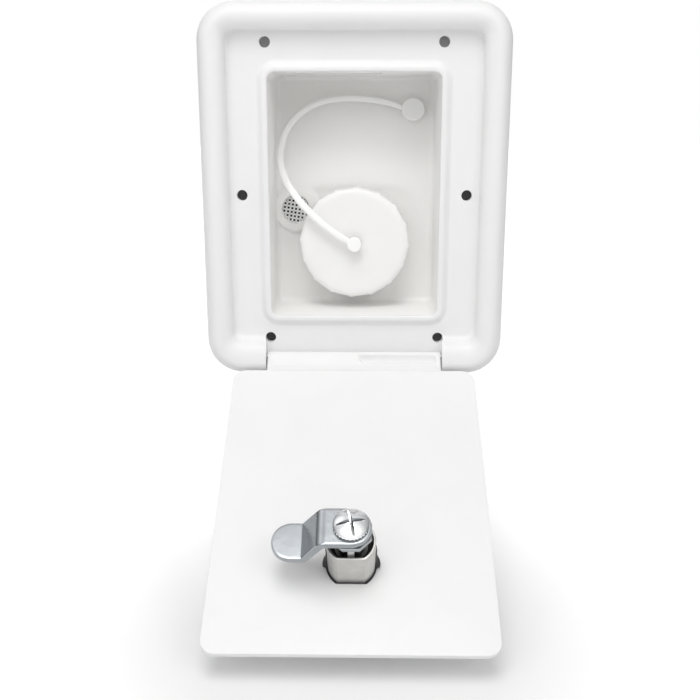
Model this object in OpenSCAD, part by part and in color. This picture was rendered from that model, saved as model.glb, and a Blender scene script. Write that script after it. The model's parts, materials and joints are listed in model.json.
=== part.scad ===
// Water fill hatch for a caravan or camper: a moulded frame with a recessed compartment,
// a screw cap on a strap, a vent with a mesh, and a drop-down lid with a cam lock.
// The back of the flange lies on the plane y = 0, which is the outside of the vehicle's
// wall. The rim and the lid stand out towards -y, and the compartment goes in towards +y.
// The origin is at the middle of the frame.

/* [Frame] */
// Width of the frame
frame_w = 142; // [136:1:170]
// Height of the frame
frame_h = 171.2; // [168:0.2:200]
// Radius of the frame's outer corners
frame_corner_r = 17; // [15:0.5:22]
// Height of the rim above the wall
rim_h = 11; // [10.5:0.5:13]
// Distance from the frame's edge to the crown of the rim
crown_in = 6.5; // [5:0.5:8]
// Height of the rim where the recess begins
lip_h = 9.3; // [9:0.1:9.8]
// Width of the rim at both sides
rim_side_w = 12.6; // [12:0.1:14]
// Width of the rim at the top
rim_top_w = 12.3; // [12:0.1:14]
// Width of the rim at the bottom, which carries the hinge
rim_bottom_w = 15.4; // [15.2:0.1:16]
// Thickness of the flange that the screws go through
flange_t = 3; // [2.5:0.1:3.4]

/* [Screw holes] */
// Diameter of the six screw holes
screw_hole_d = 5; // [3.5:0.1:5.5]
// Distance between the two holes of the top row and of the bottom row
screw_row_w = 81; // [70:0.5:84]
// Distance between the top row and the bottom row
screw_row_gap = 136.6; // [134.4:0.2:137.6]
// Distance between the two holes at mid height
screw_mid_w = 105; // [100:0.5:106]

/* [Compartment] */
// Width of the compartment inside
box_w = 79.2; // [76:0.2:80]
// Height of the compartment inside
box_h = 112.4; // [108:0.2:113]
// Height of the compartment's middle above the frame's middle
box_z = -0.9; // [-2:0.1:0]
// Depth of the lower back wall behind the vehicle's wall
box_depth = 30; // [30:0.5:36]
// Depth of the back wall at the ceiling
box_depth_top = 45; // [42:0.5:52]
// Height at which the back wall starts to slope away
slope_z = 4; // [4:0.5:12]
// Thickness of the compartment's walls
wall_t = 2; // [1.6:0.1:3]
// Inner radius of the opening's corners
opening_r = 3.6; // [3:0.1:5]
// Width of the raised bead round the opening
bead_w = 4.6; // [4:0.1:5]
// Height of the bead above the flange
bead_h = 3; // [2:0.1:3.2]

/* [Cam slot] */
// Width of the slot in the ceiling that the cam turns into
slot_w = 45; // [43:0.5:50]
// Distance from the lock's axis to the middle of the slot, towards the unlocked side
slot_x = 9.5; // [8:0.5:11]
// Width of the slot from front to back
slot_d = 16; // [15:0.5:19]
// Height of the hood over the slot, inside
hood_h = 11; // [10.5:0.5:14]

/* [Lid] */
// Thickness of the lid
lid_t = 3; // [2.5:0.1:3.4]
// Radius of the lid's corners
lid_corner_r = 6; // [5:0.5:8]
// Gap between the lid and the recess at the sides and the top
lid_gap = 0.7; // [0.5:0.1:1]
// Gap between the closed lid and the recess at the hinge side
lid_low_gap = 1.4; // [1.2:0.1:1.8]
// Gap between the closed lid and the bead
lid_seat_gap = 0.5; // [0.3:0.1:0.8]
// Angle from closed to the open stop
lid_open = 123.5; // [100:0.5:124]

/* [Hinge] */
// Distance of the hinge axis from the vehicle's wall
hinge_out = 5.4; // [5.2:0.1:5.6]
// Distance from the frame's bottom edge to the hinge axis
hinge_up = 8.5; // [8.3:0.1:9]
// Radius of the hinge barrel
barrel_r = 2.1; // [1.9:0.1:2.2]
// Diameter of the two hinge pins
pin_d = 2.4; // [2:0.1:2.6]
// Length of each pin inside the barrel
pin_in = 9; // [6:0.5:14]
// Length of each pin inside the frame
pin_out = 6; // [4:0.5:9]
// Width of the notch in the rim that the hinge turns in
notch_w = 84.8; // [80:0.2:90]
// Gap between the hinge leaf and each side of the notch
notch_gap = 0.6; // [0.4:0.1:1]
// Length of the relief pocket in the hinge leaf
pocket_l = 38; // [30:1:40]
// Depth of the relief pocket
pocket_depth = 0.6; // [0.4:0.1:0.8]

/* [Lock] */
// Distance from the compartment's ceiling down to the lock's axis
lock_down = 20.2; // [19.6:0.2:21.4]
// Diameter of the lock's body
lock_d = 19.6; // [18:0.1:20]
// Width across the flats of the body
lock_flats = 16.4; // [15:0.1:16.8]
// Height of the body above the lid's inner face
lock_h = 19.6; // [18:0.2:21]
// Thickness of the thin wall round the cavity at the lock's inner end
cavity_wall = 0.8; // [0.6:0.1:1.2]
// Depth of that cavity
cavity_depth = 5; // [3:0.5:8]
// Diameter of the lock's outer collar
collar_d = 23; // [21:0.5:26]
// Thickness of the lock's outer collar
collar_t = 1.8; // [1.2:0.1:2.5]
// Diameter of the turning plug
plug_d = 13; // [12:0.1:13.4]
// Width across the square end of the plug that the cam sits on
plug_square = 8; // [7:0.1:8.4]
// Gap around the turning plug
plug_gap = 0.05; // [0.03:0.01:0.1]

/* [Cam] */
// Width of the cam
cam_w = 16; // [15:0.5:17]
// Length of the cam from the lock's axis to its tip
cam_l = 31.3; // [29:0.1:32]
// Thickness of the cam
cam_t = 3; // [2:0.1:3]
// Height of the cam's flat end above the lid's inner face
cam_h = 30.2; // [29:0.2:31]
// Height of the cam's tip above the lid's inner face
tip_h = 19; // [18.6:0.2:20]
// Distance from the lock's axis to the upper bend of the cam
bend_near = 11.9; // [11:0.1:13]
// Distance from the lock's axis to the lower bend of the cam
bend_far = 19.3; // [18.5:0.1:20]
// Thickness of the stop plate below the cam
stop_t = 2.6; // [2:0.1:3]
// Diameter of the cam screw's head
screw_head_d = 14; // [11:0.1:14.6]
// Diameter of the cam screw's shank
shank_d = 4; // [3:0.1:5]
// Height of the cam screw's head
screw_head_h = 4.2; // [3:0.1:4.6]

/* [Filler neck and cap] */
// Height of the neck's axis above the frame's middle
neck_z = -24.3; // [-25:0.1:-24]
// Bore of the filler neck
neck_bore_d = 35; // [30:0.5:37]
// Outer diameter of the neck under the cap
neck_d = 44; // [42:0.5:46]
// Diameter of the dish in the back wall round the neck
dish_d = 75; // [70:0.5:76]
// Depth of the dish
dish_depth = 0.7; // [0.4:0.1:0.9]
// Diameter of the hose spigot behind the compartment
spigot_d = 40; // [38:0.5:42]
// Length of the hose spigot behind the back wall
spigot_l = 30; // [20:1:45]
// Diameter of the cap over its ribs
cap_d = 54.4; // [52:0.1:54.6]
// Distance from the vehicle's wall to the cap's face
cap_face_y = 10; // [9.4:0.1:10.2]
// Length of the cap from its face to the end of its skirt
cap_l = 12.6; // [11:0.1:13.4]
// Number of ribs round the cap
cap_ribs = 16; // [12:1:24]
// Depth of the hollows between the ribs
rib_depth = 1; // [0.5:0.1:1.4]
// Thickness of the cap's face
cap_face_t = 2.4; // [2:0.1:2.6]
// Width of the rounded shoulder round the cap's face
cap_shoulder_w = 3.6; // [2:0.1:4]
// Height of that shoulder
cap_shoulder_h = 1.8; // [1:0.1:2.2]
// Gap between the cap's skirt and the neck
cap_gap = 0.5; // [0.4:0.1:0.8]
// Thickness of the seal inside the cap
seal_t = 1.5; // [1:0.1:1.6]

/* [Strap] */
// Width of the strap where it leaves the anchor
strap_w_start = 2.8; // [2.2:0.1:3.4]
// Width of the strap at the cap
strap_w_end = 3.5; // [2.8:0.1:4]
// Thickness of the strap
strap_t = 2.4; // [1.8:0.1:2.6]
// Distance of the anchor from the right wall
anchor_side = 10.6; // [10:0.2:14]
// Distance of the anchor from the ceiling
anchor_down = 17; // [14:0.5:20]
// Diameter of the round end at the anchor
anchor_d = 11.6; // [10:0.1:13]
// Thickness of the round end at the anchor
anchor_t = 2; // [1.5:0.1:3]
// Diameter of the boss that carries the anchor
anchor_boss_d = 10.4; // [8:0.1:11]
// Height of the boss that carries the anchor
anchor_boss_h = 2; // [1.5:0.1:3]
// Diameter of the round end at the cap
knob_d = 7; // [6:0.1:8]
// Thickness of the round end at the cap
knob_t = 3.4; // [3:0.1:3.8]
// Height of the rivet below the round end at the cap
rivet_h = 2.6; // [2:0.1:3]

/* [Vent] */
// Distance of the vent's axis from the left wall
vent_side = 9.8; // [9.6:0.1:10.6]
// Height of the vent's axis above the neck's axis
vent_up = 14.7; // [14.3:0.1:16.3]
// Outer diameter of the vent's ring
vent_ring_d = 21.6; // [18:0.1:22]
// Diameter of the mesh
mesh_d = 14.4; // [12:0.1:15]
// Height of the ring above the back wall
vent_ring_h = 1.2; // [0.8:0.1:2]
// Distance between the holes of the mesh
mesh_pitch = 1.9; // [1.7:0.05:2.4]
// Width of each square hole of the mesh
mesh_hole = 1.25; // [1:0.05:1.35]
// Turn of the mesh
mesh_turn = 9.5; // [0:0.5:45]
// Diameter of the breather spigot behind the compartment
breather_d = 12; // [10:0.5:14]
// Length of the breather spigot
breather_l = 20; // [12:1:30]

/* [Hidden] */

// Smoothness
round_fn = 96;
arc_steps = 14;

// Small distances
touch_gap = 0.3;
slot_front_gap = 1.5;
cut = 1;
fit_gap = 0.02;
lock_hole_gap = 0.1;
pin_run_gap = 0.05;
seal_gap = 0.2;

// Recess in the frame
recess_w = frame_w - 2 * rim_side_w;
recess_top = frame_h / 2 - rim_top_w;
recess_bottom = -frame_h / 2 + rim_bottom_w;
recess_h = recess_top - recess_bottom;
recess_mid = (recess_top + recess_bottom) / 2;
recess_corner_r = lid_corner_r - lid_gap;
hinge_z = -frame_h / 2 + hinge_up;

// Compartment
box_top = box_z + box_h / 2;
box_bottom = box_z - box_h / 2;
slope = atan2(box_depth_top - box_depth, box_top - slope_z);
bead_crest_y = -flange_t - bead_h;

// Lid, as it lies when closed
lid_w = recess_w - 2 * lid_gap;
lid_l = recess_h - lid_gap - lid_low_gap;
lid_inner_y = bead_crest_y - lid_seat_gap;
lid_outer_y = lid_inner_y - lid_t;
lid_low_z = recess_bottom + lid_low_gap;
lock_z = box_top - lock_down;
leaf_w = notch_w - 2 * notch_gap;

// Lock
slot_y = lid_inner_y + tip_h - cam_t - slot_front_gap;
cavity_y = lid_inner_y + lock_h - cavity_depth;
plate_y = lid_inner_y + cam_h - cam_t - stop_t;

// Vent
vent_x = box_w / 2 - vent_side;
vent_z = neck_z + vent_up;

// Cap and neck
cap_back_y = cap_face_y + cap_l;
cap_bore_d = neck_d + 2 * cap_gap;
seal_side_gap = 1.5;
mouth_y = cap_face_y + cap_face_t + seal_t + touch_gap;
rivet_hole_d = 4;
rivet_head_gap = 0.25;

// Wall of the compartment that carries the strap's anchor
anchor_x = box_w / 2 - anchor_side;
anchor_z = box_top - anchor_down;
anchor_wall_y = box_depth + (anchor_z - slope_z) * tan(slope);

// Route of the strap's middle from the anchor to the cap. Across, -1 is the left wall and 1 the
// right wall. In depth, 0 is the strap's end at the cap and 1 its end at the anchor. In height,
// 0 is the neck's axis and 1 is the anchor.
strap_end_y = cap_face_y - rivet_h - knob_t / 2 - 0.2;
strap_start_y = anchor_wall_y - anchor_boss_h;
strap_start_share = 1.03;
strap_shares = [
    [0.455, 0.991, 1.059], [0.313, 0.979, 1.078], [0.126, 0.954, 1.094],
    [-0.066, 0.929, 1.101], [-0.227, 0.902, 1.094], [-0.376, 0.868, 1.078],
    [-0.515, 0.831, 1.048], [-0.626, 0.798, 1.008], [-0.732, 0.764, 0.954],
    [-0.813, 0.727, 0.893], [-0.879, 0.684, 0.816], [-0.909, 0.635, 0.74], [-0.922, 0.567, 0.682],
    [-0.917, 0.491, 0.626], [-0.896, 0.402, 0.558], [-0.854, 0.316, 0.49], [-0.798, 0.218, 0.433],
    [-0.73, 0.126, 0.379], [-0.641, 0.052, 0.312], [-0.54, 0.021, 0.246], [-0.419, 0.009, 0.177],
    [-0.295, 0.003, 0.115], [-0.192, 0, 0.069], [-0.083, 0, 0.027]
];
strap_route = concat(
    [[anchor_x - anchor_d / 2 - touch_gap, strap_start_y,
        neck_z + strap_start_share * (anchor_z - neck_z)]],
    [for (p = strap_shares)
        [p[0] * box_w / 2, strap_end_y + p[1] * (strap_start_y - strap_end_y),
            neck_z + p[2] * (anchor_z - neck_z)]]
);

// Points along a quarter of an ellipse, from a to b degrees
function arc_points(mid, rx, ry, from, to, steps) =
    [for (i = [0:steps]) let (a = from + (to - from) * i / steps)
        [mid[0] + rx * cos(a), mid[1] + ry * sin(a)]];

// Lays a flat outline, drawn in x and z, against the wall, and gives it a depth towards +y
module plate(y, depth) {
    translate([0, y + depth, 0]) rotate([90, 0, 0]) linear_extrude(depth) children();
}

module rounded_rect(w, h, r) {
    union() {
        square([w - 2 * r, h], center = true);
        square([w, h - 2 * r], center = true);
        for (x = [-1, 1], z = [-1, 1])
            translate([x * (w / 2 - r), z * (h / 2 - r)]) circle(r, $fn = round_fn);
    }
}

// A round bar along y, from y0 to y1
module bar(x, z, y0, y1, d) {
    translate([x, y0, z]) rotate([-90, 0, 0]) cylinder(d = d, h = y1 - y0, $fn = round_fn);
}

// A round bar along x
module bar_x(x0, x1, y, z, d) {
    translate([x0, y, z]) rotate([0, 90, 0]) cylinder(d = d, h = x1 - x0, $fn = round_fn);
}

// Half of the rim's section: distance in from the edge, and height above the wall
edge_straight = 2.5;
crown_flat = 1.5;
crown_drop = 0.1;
slope_rate = (rim_h - lip_h) / (rim_side_w - crown_in);
rim_section = concat(
    [[0, 0]],
    arc_points([crown_in, edge_straight], crown_in, rim_h - edge_straight, 180, 90, arc_steps),
    [[crown_in + crown_flat, rim_h - crown_drop * slope_rate], [rim_side_w, lip_h]],
    [[frame_corner_r, lip_h - (frame_corner_r - rim_side_w) * slope_rate], [frame_corner_r, 0]]
);

// The pillow that the recess is cut out of
module rim_pillow() {
    in_w = frame_w - 2 * frame_corner_r;
    in_h = frame_h - 2 * frame_corner_r;
    top = rim_section[len(rim_section) - 2][1];
    union() {
        translate([-in_w / 2, -top, -in_h / 2]) cube([in_w, top, in_h]);
        for (s = [-1, 1]) {
            translate([s * frame_w / 2, 0, -in_h / 2])
                linear_extrude(in_h) polygon([for (p = rim_section) [-s * p[0], -p[1]]]);
            translate([-in_w / 2, 0, s * frame_h / 2]) rotate([90, 0, 90])
                linear_extrude(in_w) polygon([for (p = rim_section) [-p[1], -s * p[0]]]);
        }
        for (x = [0, 1], z = [0, 1])
            mirror([x, 0, 0]) mirror([0, 0, z])
                translate([in_w / 2, 0, in_h / 2]) rotate([90, 0, 0])
                    rotate_extrude(angle = 90, $fn = round_fn)
                        polygon([for (p = rim_section) [frame_corner_r - p[0], p[1]]]);
    }
}

// The bead round the opening is a ring with a round crest
module bead() {
    ring_w = box_w + bead_w;
    ring_h = box_h + bead_w;
    ring_r = opening_r + bead_w / 2;
    section = concat([[-bead_w / 2, 0]], arc_points([0, 0], bead_w / 2, bead_h, 180, 0, arc_steps));
    side_x = ring_w / 2;
    side_z = ring_h / 2;
    translate([0, -flange_t, box_z]) union() {
        for (s = [-1, 1]) {
            translate([s * side_x, 0, -side_z + ring_r])
                linear_extrude(ring_h - 2 * ring_r) polygon([for (p = section) [p[0], -p[1]]]);
            translate([-side_x + ring_r, 0, s * side_z]) rotate([90, 0, 90])
                linear_extrude(ring_w - 2 * ring_r) polygon([for (p = section) [-p[1], p[0]]]);
        }
        for (x = [0, 1], z = [0, 1])
            mirror([x, 0, 0]) mirror([0, 0, z])
                translate([side_x - ring_r, 0, side_z - ring_r]) rotate([90, 0, 0])
                    rotate_extrude(angle = 90, $fn = round_fn)
                        polygon([for (p = section) [ring_r + p[0], p[1]]]);
    }
}

module screw_holes() {
    for (x = [-1, 1]) {
        for (z = [-1, 1])
            bar(x * screw_row_w / 2, z * screw_row_gap / 2, -rim_h, cut, screw_hole_d);
        bar(x * screw_mid_w / 2, 0, -rim_h, cut, screw_hole_d);
    }
}

module frame() {
    color("white") difference() {
        union() {
            difference() {
                rim_pillow();
                translate([0, 0, recess_mid]) plate(-rim_h - cut, rim_h + cut - flange_t)
                    rounded_rect(recess_w, recess_h, recess_corner_r);
                translate([-notch_w / 2, -rim_h - cut, -frame_h / 2 - cut])
                    cube([notch_w, rim_h + cut - flange_t, rim_bottom_w + 2 * cut]);
            }
            bead();
        }
        translate([-box_w / 2 - wall_t, -flange_t, box_z - box_h / 2 - wall_t])
            cube([box_w + 2 * wall_t, flange_t + cut, box_h + 2 * wall_t]);
        screw_holes();
        for (s = [-1, 1])
            bar_x(s * notch_w / 2 - pin_out, s * notch_w / 2 + pin_out, -hinge_out, hinge_z,
                pin_d + 2 * fit_gap);
    }
}

// Profile of a side wall, drawn in y and z
module side_profile() {
    polygon([
        [-flange_t, box_bottom - wall_t], [box_depth + wall_t, box_bottom - wall_t],
        [box_depth + wall_t, slope_z],
        [box_depth_top + wall_t, box_top], [box_depth_top + wall_t, box_top + wall_t],
        [-flange_t, box_top + wall_t]
    ]);
}

// A wall in the plane of y and z, from x0 to x0 + t
module side_slab(x0, t) {
    translate([x0, 0, 0]) rotate([90, 0, 90]) linear_extrude(t) children();
}

module left_wall() {
    color("white") side_slab(-box_w / 2 - wall_t, wall_t) side_profile();
}

module right_wall() {
    color("white") side_slab(box_w / 2, wall_t) side_profile();
}

module ceiling() {
    color("white") difference() {
        translate([-box_w / 2, -flange_t, box_top]) cube([box_w, box_depth_top + flange_t, wall_t]);
        translate([-slot_x - slot_w / 2, slot_y, box_top - cut])
            cube([slot_w, slot_d, wall_t + 2 * cut]);
    }
}

// A box that closes the slot from outside
module cam_hood() {
    color("white") translate([-slot_x, slot_y, box_top + wall_t]) difference() {
        translate([-slot_w / 2 - wall_t, -wall_t, 0])
            cube([slot_w + 2 * wall_t, slot_d + 2 * wall_t, hood_h + wall_t]);
        translate([-slot_w / 2, 0, -cut]) cube([slot_w, slot_d, hood_h + cut]);
    }
}

module compartment_floor() {
    color("white")
        translate([-box_w / 2, -flange_t, box_bottom - wall_t])
            cube([box_w, box_depth + flange_t, wall_t]);
}

module lower_back_wall() {
    color("white") difference() {
        translate([-box_w / 2, box_depth, box_bottom - wall_t])
            cube([box_w, wall_t, slope_z - box_bottom + wall_t]);
        difference() {
            bar(0, neck_z, box_depth - cut, box_depth + dish_depth, dish_d);
            for (z = [slope_z - cut, box_bottom - dish_d])
                translate([-box_w / 2, box_depth - 2 * cut, z]) cube([box_w, 4 * cut, dish_d]);
            bar(-vent_x, vent_z, box_depth - 2 * cut, box_depth + 2 * cut, vent_ring_d);
        }
        bar(0, neck_z, box_depth - cut, box_depth + wall_t + cut, neck_d);
        bar(-vent_x, vent_z, box_depth - cut, box_depth + wall_t + cut, mesh_d);
    }
}

module upper_back_wall() {
    color("white") side_slab(-box_w / 2, box_w) polygon([
        [box_depth, slope_z], [box_depth + wall_t, slope_z],
        [box_depth_top + wall_t, box_top], [box_depth_top + wall_t, box_top + wall_t],
        [box_depth_top, box_top + wall_t], [box_depth_top, box_top]
    ]);
}

module filler_neck() {
    thread_turns = 3;
    thread_gap = 2.4;
    thread_start = 2;
    thread_w = 1;
    thread_h = 0.7;
    root_l = 3;
    color("white") difference() {
        union() {
            bar(0, neck_z, mouth_y, box_depth + wall_t, neck_d - 2 * thread_h);
            bar(0, neck_z, box_depth - root_l, box_depth + wall_t, neck_d - 2 * fit_gap);
            for (i = [0:thread_turns - 1]) {
                y = mouth_y + thread_start + i * thread_gap;
                bar(0, neck_z, y, y + thread_w, neck_d);
            }
        }
        bar(0, neck_z, mouth_y - cut, box_depth + wall_t + cut, neck_bore_d);
    }
}

hose_base_t = 2;
hose_base_rim = 2;

module hose_spigot() {
    start = box_depth + wall_t;
    color("white") difference() {
        union() {
            bar(0, neck_z, start, start + spigot_l, spigot_d);
            bar(0, neck_z, start, start + hose_base_t, neck_d + 2 * hose_base_rim);
        }
        bar(0, neck_z, start - cut, start + spigot_l + cut, neck_bore_d);
    }
}

module vent_ring() {
    color("white") difference() {
        bar(-vent_x, vent_z, box_depth - vent_ring_h, box_depth, vent_ring_d);
        bar(-vent_x, vent_z, box_depth - vent_ring_h - cut, box_depth + cut, mesh_d);
        bar(0, neck_z, box_depth - vent_ring_h - cut, box_depth + cut, neck_d + 2 * touch_gap);
        translate([-box_w / 2 - vent_ring_d, box_depth - vent_ring_h - cut, vent_z - vent_ring_d])
            cube([vent_ring_d + fit_gap, vent_ring_h + 2 * cut, 2 * vent_ring_d]);
    }
}

module vent_mesh() {
    mesh_t = 0.8;
    mesh_rim = 0.4;
    half_diagonal = mesh_hole / sqrt(2);
    count = floor((mesh_d - mesh_hole) / 2 / mesh_pitch);
    y0 = box_depth;
    color("white") difference() {
        bar(-vent_x, vent_z, y0, y0 + mesh_t, mesh_d - 2 * fit_gap);
        translate([-vent_x, y0 - cut, vent_z]) rotate([0, mesh_turn, 0])
            for (i = [-count:count], j = [-count:count])
                if (norm([i, j]) * mesh_pitch + half_diagonal < mesh_d / 2 - mesh_rim)
                    translate([i * mesh_pitch - mesh_hole / 2, 0, j * mesh_pitch - mesh_hole / 2])
                        cube([mesh_hole, mesh_t + 2 * cut, mesh_hole]);
    }
}

module breather_spigot() {
    start = box_depth + wall_t;
    base_t = 1.5;
    base_rim = 1.5;
    breather_wall = 1.5;
    color("white") difference() {
        union() {
            bar(-vent_x, vent_z, start, start + breather_l, breather_d);
            bar(-vent_x, vent_z, start, start + base_t, mesh_d + 2 * base_rim);
        }
        bar(-vent_x, vent_z, start - cut, start + breather_l + cut, breather_d - 2 * breather_wall);
        bar(0, neck_z, start - cut, start + hose_base_t + cut,
            neck_d + 2 * hose_base_rim + 2 * touch_gap);
    }
}

// Places children on the sloping wall at the strap's anchor, with +z out of the wall
module at_anchor() {
    translate([anchor_x, anchor_wall_y, anchor_z]) rotate([90 - slope, 0, 0]) children();
}

module anchor_boss() {
    color("white") at_anchor() cylinder(d = anchor_boss_d, h = anchor_boss_h, $fn = round_fn);
}

module strap_anchor() {
    color("white") at_anchor() translate([0, 0, anchor_boss_h])
        cylinder(d = anchor_d, h = anchor_t, $fn = round_fn);
}

// Catmull-Rom curve through the route's points
function route_at(p, i, t) =
    let (n = len(p) - 1,
        a = p[max(i - 1, 0)], b = p[i], c = p[min(i + 1, n)], d = p[min(i + 2, n)])
    0.5 * (2 * b + (c - a) * t + (2 * a - 5 * b + 4 * c - d) * t * t
        + (3 * b - a - 3 * c + d) * t * t * t);

function unit(v) = v / norm(v);

strap_steps = 2;
strap_sides = 8;
strap_path = concat(
    [for (i = [0:len(strap_route) - 2], k = [0:strap_steps - 1])
        route_at(strap_route, i, k / strap_steps)],
    [strap_route[len(strap_route) - 1]]
);

module cap_strap() {
    n = len(strap_path);
    rings = [for (i = [0:n - 1])
        let (along = unit(strap_path[min(i + 1, n - 1)] - strap_path[max(i - 1, 0)]),
            flat = unit(cross(along, [0, -1, 0])),
            out = cross(flat, along),
            w = strap_w_start + (strap_w_end - strap_w_start) * i / (n - 1))
        [for (k = [0:strap_sides - 1]) let (a = 360 * (k + 0.5) / strap_sides)
            strap_path[i] + flat * w / 2 * cos(a) / cos(180 / strap_sides)
                + out * strap_t / 2 * sin(a) / cos(180 / strap_sides)]];
    points = [for (r = rings, p = r) p];
    faces = concat(
        [[for (k = [0:strap_sides - 1]) k]],
        [for (i = [0:n - 2], k = [0:strap_sides - 1]) let (m = (k + 1) % strap_sides)
            [i * strap_sides + k, (i + 1) * strap_sides + k,
                (i + 1) * strap_sides + m, i * strap_sides + m]],
        [[for (k = [strap_sides - 1:-1:0]) (n - 1) * strap_sides + k]]
    );
    color("white") polyhedron(points, faces, convexity = 6);
}

module hinge_pin(s) {
    x0 = s > 0 ? notch_w / 2 - notch_gap - pin_in : -notch_w / 2 - pin_out + touch_gap;
    color("silver")
        bar_x(x0, x0 + pin_in + notch_gap + pin_out - touch_gap, -hinge_out, hinge_z, pin_d);
}

module hinge_pin_left() { hinge_pin(-1); }

module hinge_pin_right() { hinge_pin(1); }

// Swings what is drawn in the closed lid's place down to the open stop
module opened() {
    translate([0, -hinge_out, hinge_z]) rotate([lid_open, 0, 0])
        translate([0, hinge_out, -hinge_z]) children();
}

// The body's outline, a circle with two flats
module double_d(d, flats) {
    intersection() {
        circle(d = d, $fn = round_fn);
        square([d + cut, flats], center = true);
    }
}

module lid_panel() {
    color("white") opened() difference() {
        translate([0, 0, lid_low_z + lid_l / 2]) plate(lid_outer_y, lid_t)
            rounded_rect(lid_w, lid_l, lid_corner_r);
        translate([0, 0, lock_z]) plate(lid_outer_y - cut, lid_t + 2 * cut)
            double_d(lock_d + 2 * lock_hole_gap, lock_flats + 2 * lock_hole_gap);
    }
}

// Section of the hinge leaf in y and z, when closed, from the lid's edge to the barrel
leaf_angle_in = 30;
leaf_angle_out = 20;
leaf_section = [
    [lid_outer_y, lid_low_z], [lid_inner_y, lid_low_z],
    [-hinge_out + barrel_r * cos(leaf_angle_in), hinge_z + barrel_r * sin(leaf_angle_in)],
    [-hinge_out - barrel_r * cos(leaf_angle_out), hinge_z + barrel_r * sin(leaf_angle_out)]
];

// Section of the shallow pocket in the leaf's inner face
pocket_inset = 1.2;
pocket_rim = 2;
leaf_face = leaf_section[2] - leaf_section[1];
leaf_along = leaf_face / norm(leaf_face);
leaf_out = [-leaf_along[1], leaf_along[0]];
pocket_section = [
    leaf_section[1] + leaf_along * pocket_inset + leaf_out * cut,
    leaf_section[2] - leaf_along * pocket_inset + leaf_out * cut,
    leaf_section[2] - leaf_along * pocket_inset - leaf_out * pocket_depth,
    leaf_section[1] + leaf_along * pocket_inset - leaf_out * pocket_depth
];

module hinge_leaf() {
    color("white") opened() difference() {
        union() {
            side_slab(-leaf_w / 2, leaf_w) polygon(leaf_section);
            bar_x(-leaf_w / 2, leaf_w / 2, -hinge_out, hinge_z, 2 * barrel_r);
        }
        for (s = [-1, 1])
            bar_x(s * leaf_w / 2 - pin_in - touch_gap, s * leaf_w / 2 + pin_in + touch_gap,
                -hinge_out, hinge_z, pin_d + 2 * pin_run_gap);
        side_slab(leaf_w / 2 - pocket_rim - pocket_l, pocket_l) polygon(pocket_section);
    }
}

module lock_body() {
    color("silver") opened() difference() {
        translate([0, 0, lock_z]) plate(lid_outer_y, lid_t + lock_h) double_d(lock_d, lock_flats);
        bar(0, lock_z, lid_outer_y - cut, cavity_y + fit_gap, plug_d + 2 * plug_gap);
        bar(0, lock_z, cavity_y, lid_inner_y + lock_h + cut, lock_flats - 2 * cavity_wall);
    }
}

module lock_collar() {
    color("silver") opened() difference() {
        bar(0, lock_z, lid_outer_y - collar_t, lid_outer_y, collar_d);
        bar(0, lock_z, lid_outer_y - collar_t - cut, lid_outer_y + cut, plug_d + 2 * plug_gap);
    }
}

module lock_gasket() {
    gasket_t = 0.6;
    gasket_w = 0.7;
    color([0.1, 0.1, 0.1]) opened() translate([0, 0, lock_z]) plate(lid_inner_y, gasket_t)
        difference() {
            double_d(lock_d + 2 * gasket_w, lock_flats + 2 * gasket_w);
            double_d(lock_d + 2 * fit_gap, lock_flats + 2 * fit_gap);
        }
}

// Two barbed strips, one on each round side of the lock's body
module lock_clips() {
    clip_w = 5;
    clip_t = 0.8;
    clip_l = 13;
    barb_out = 2.2;
    barb_from = 6;
    barb_tip = 1;
    clip_y = lid_inner_y + 1;
    color([0.1, 0.1, 0.1]) opened()
        for (s = [0, 1]) mirror([s, 0, 0]) translate([lock_d / 2, clip_y, lock_z - clip_w / 2])
            linear_extrude(clip_w) polygon([
                [0, 0], [clip_t, 0], [barb_out, barb_from], [barb_out - clip_t, barb_from + barb_tip],
                [clip_t, barb_from + 2 * barb_tip], [clip_t, clip_l], [0, clip_l]
            ]);
}

module lock_plug() {
    neck_w = 9.5;
    key_w = 1.8;
    key_h = 8;
    key_depth = 8;
    front_y = lid_outer_y - collar_t;
    color("silver") opened() difference() {
        union() {
            bar(0, lock_z, front_y, cavity_y, plug_d);
            bar(0, lock_z, cavity_y - fit_gap, plate_y, neck_w);
            translate([-plug_square / 2, plate_y - fit_gap, lock_z - plug_square / 2])
                cube([plug_square, stop_t + cam_t + fit_gap - touch_gap, plug_square]);
        }
        translate([-key_w / 2, front_y - cut, lock_z - key_h / 2]) cube([key_w, key_depth + cut, key_h]);
        bar(0, lock_z, plate_y, plate_y + stop_t + cam_t, shank_d + 2 * fit_gap);
    }
}

module stop_plate() {
    plate_d = 15.4;
    color("silver") opened() difference() {
        bar(0, lock_z, plate_y, plate_y + stop_t, plate_d);
        translate([0, 0, lock_z]) plate(plate_y - cut, stop_t + 2 * cut)
            square(plug_square + 2 * fit_gap, center = true);
    }
}

// Section of the cam in x and y, from the lock's axis to the tip on the left
module cam_section() {
    up = lid_inner_y + cam_h;
    low = lid_inner_y + tip_h;
    turn = atan2(cam_h - tip_h, bend_far - bend_near);
    shift = cam_t * tan(turn / 2);
    polygon([
        [cam_w / 2, up - cam_t], [cam_w / 2, up], [-bend_near, up], [-bend_far, low], [-cam_l, low],
        [-cam_l, low - cam_t], [-bend_far + shift, low - cam_t], [-bend_near + shift, up - cam_t]
    ]);
}

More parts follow.
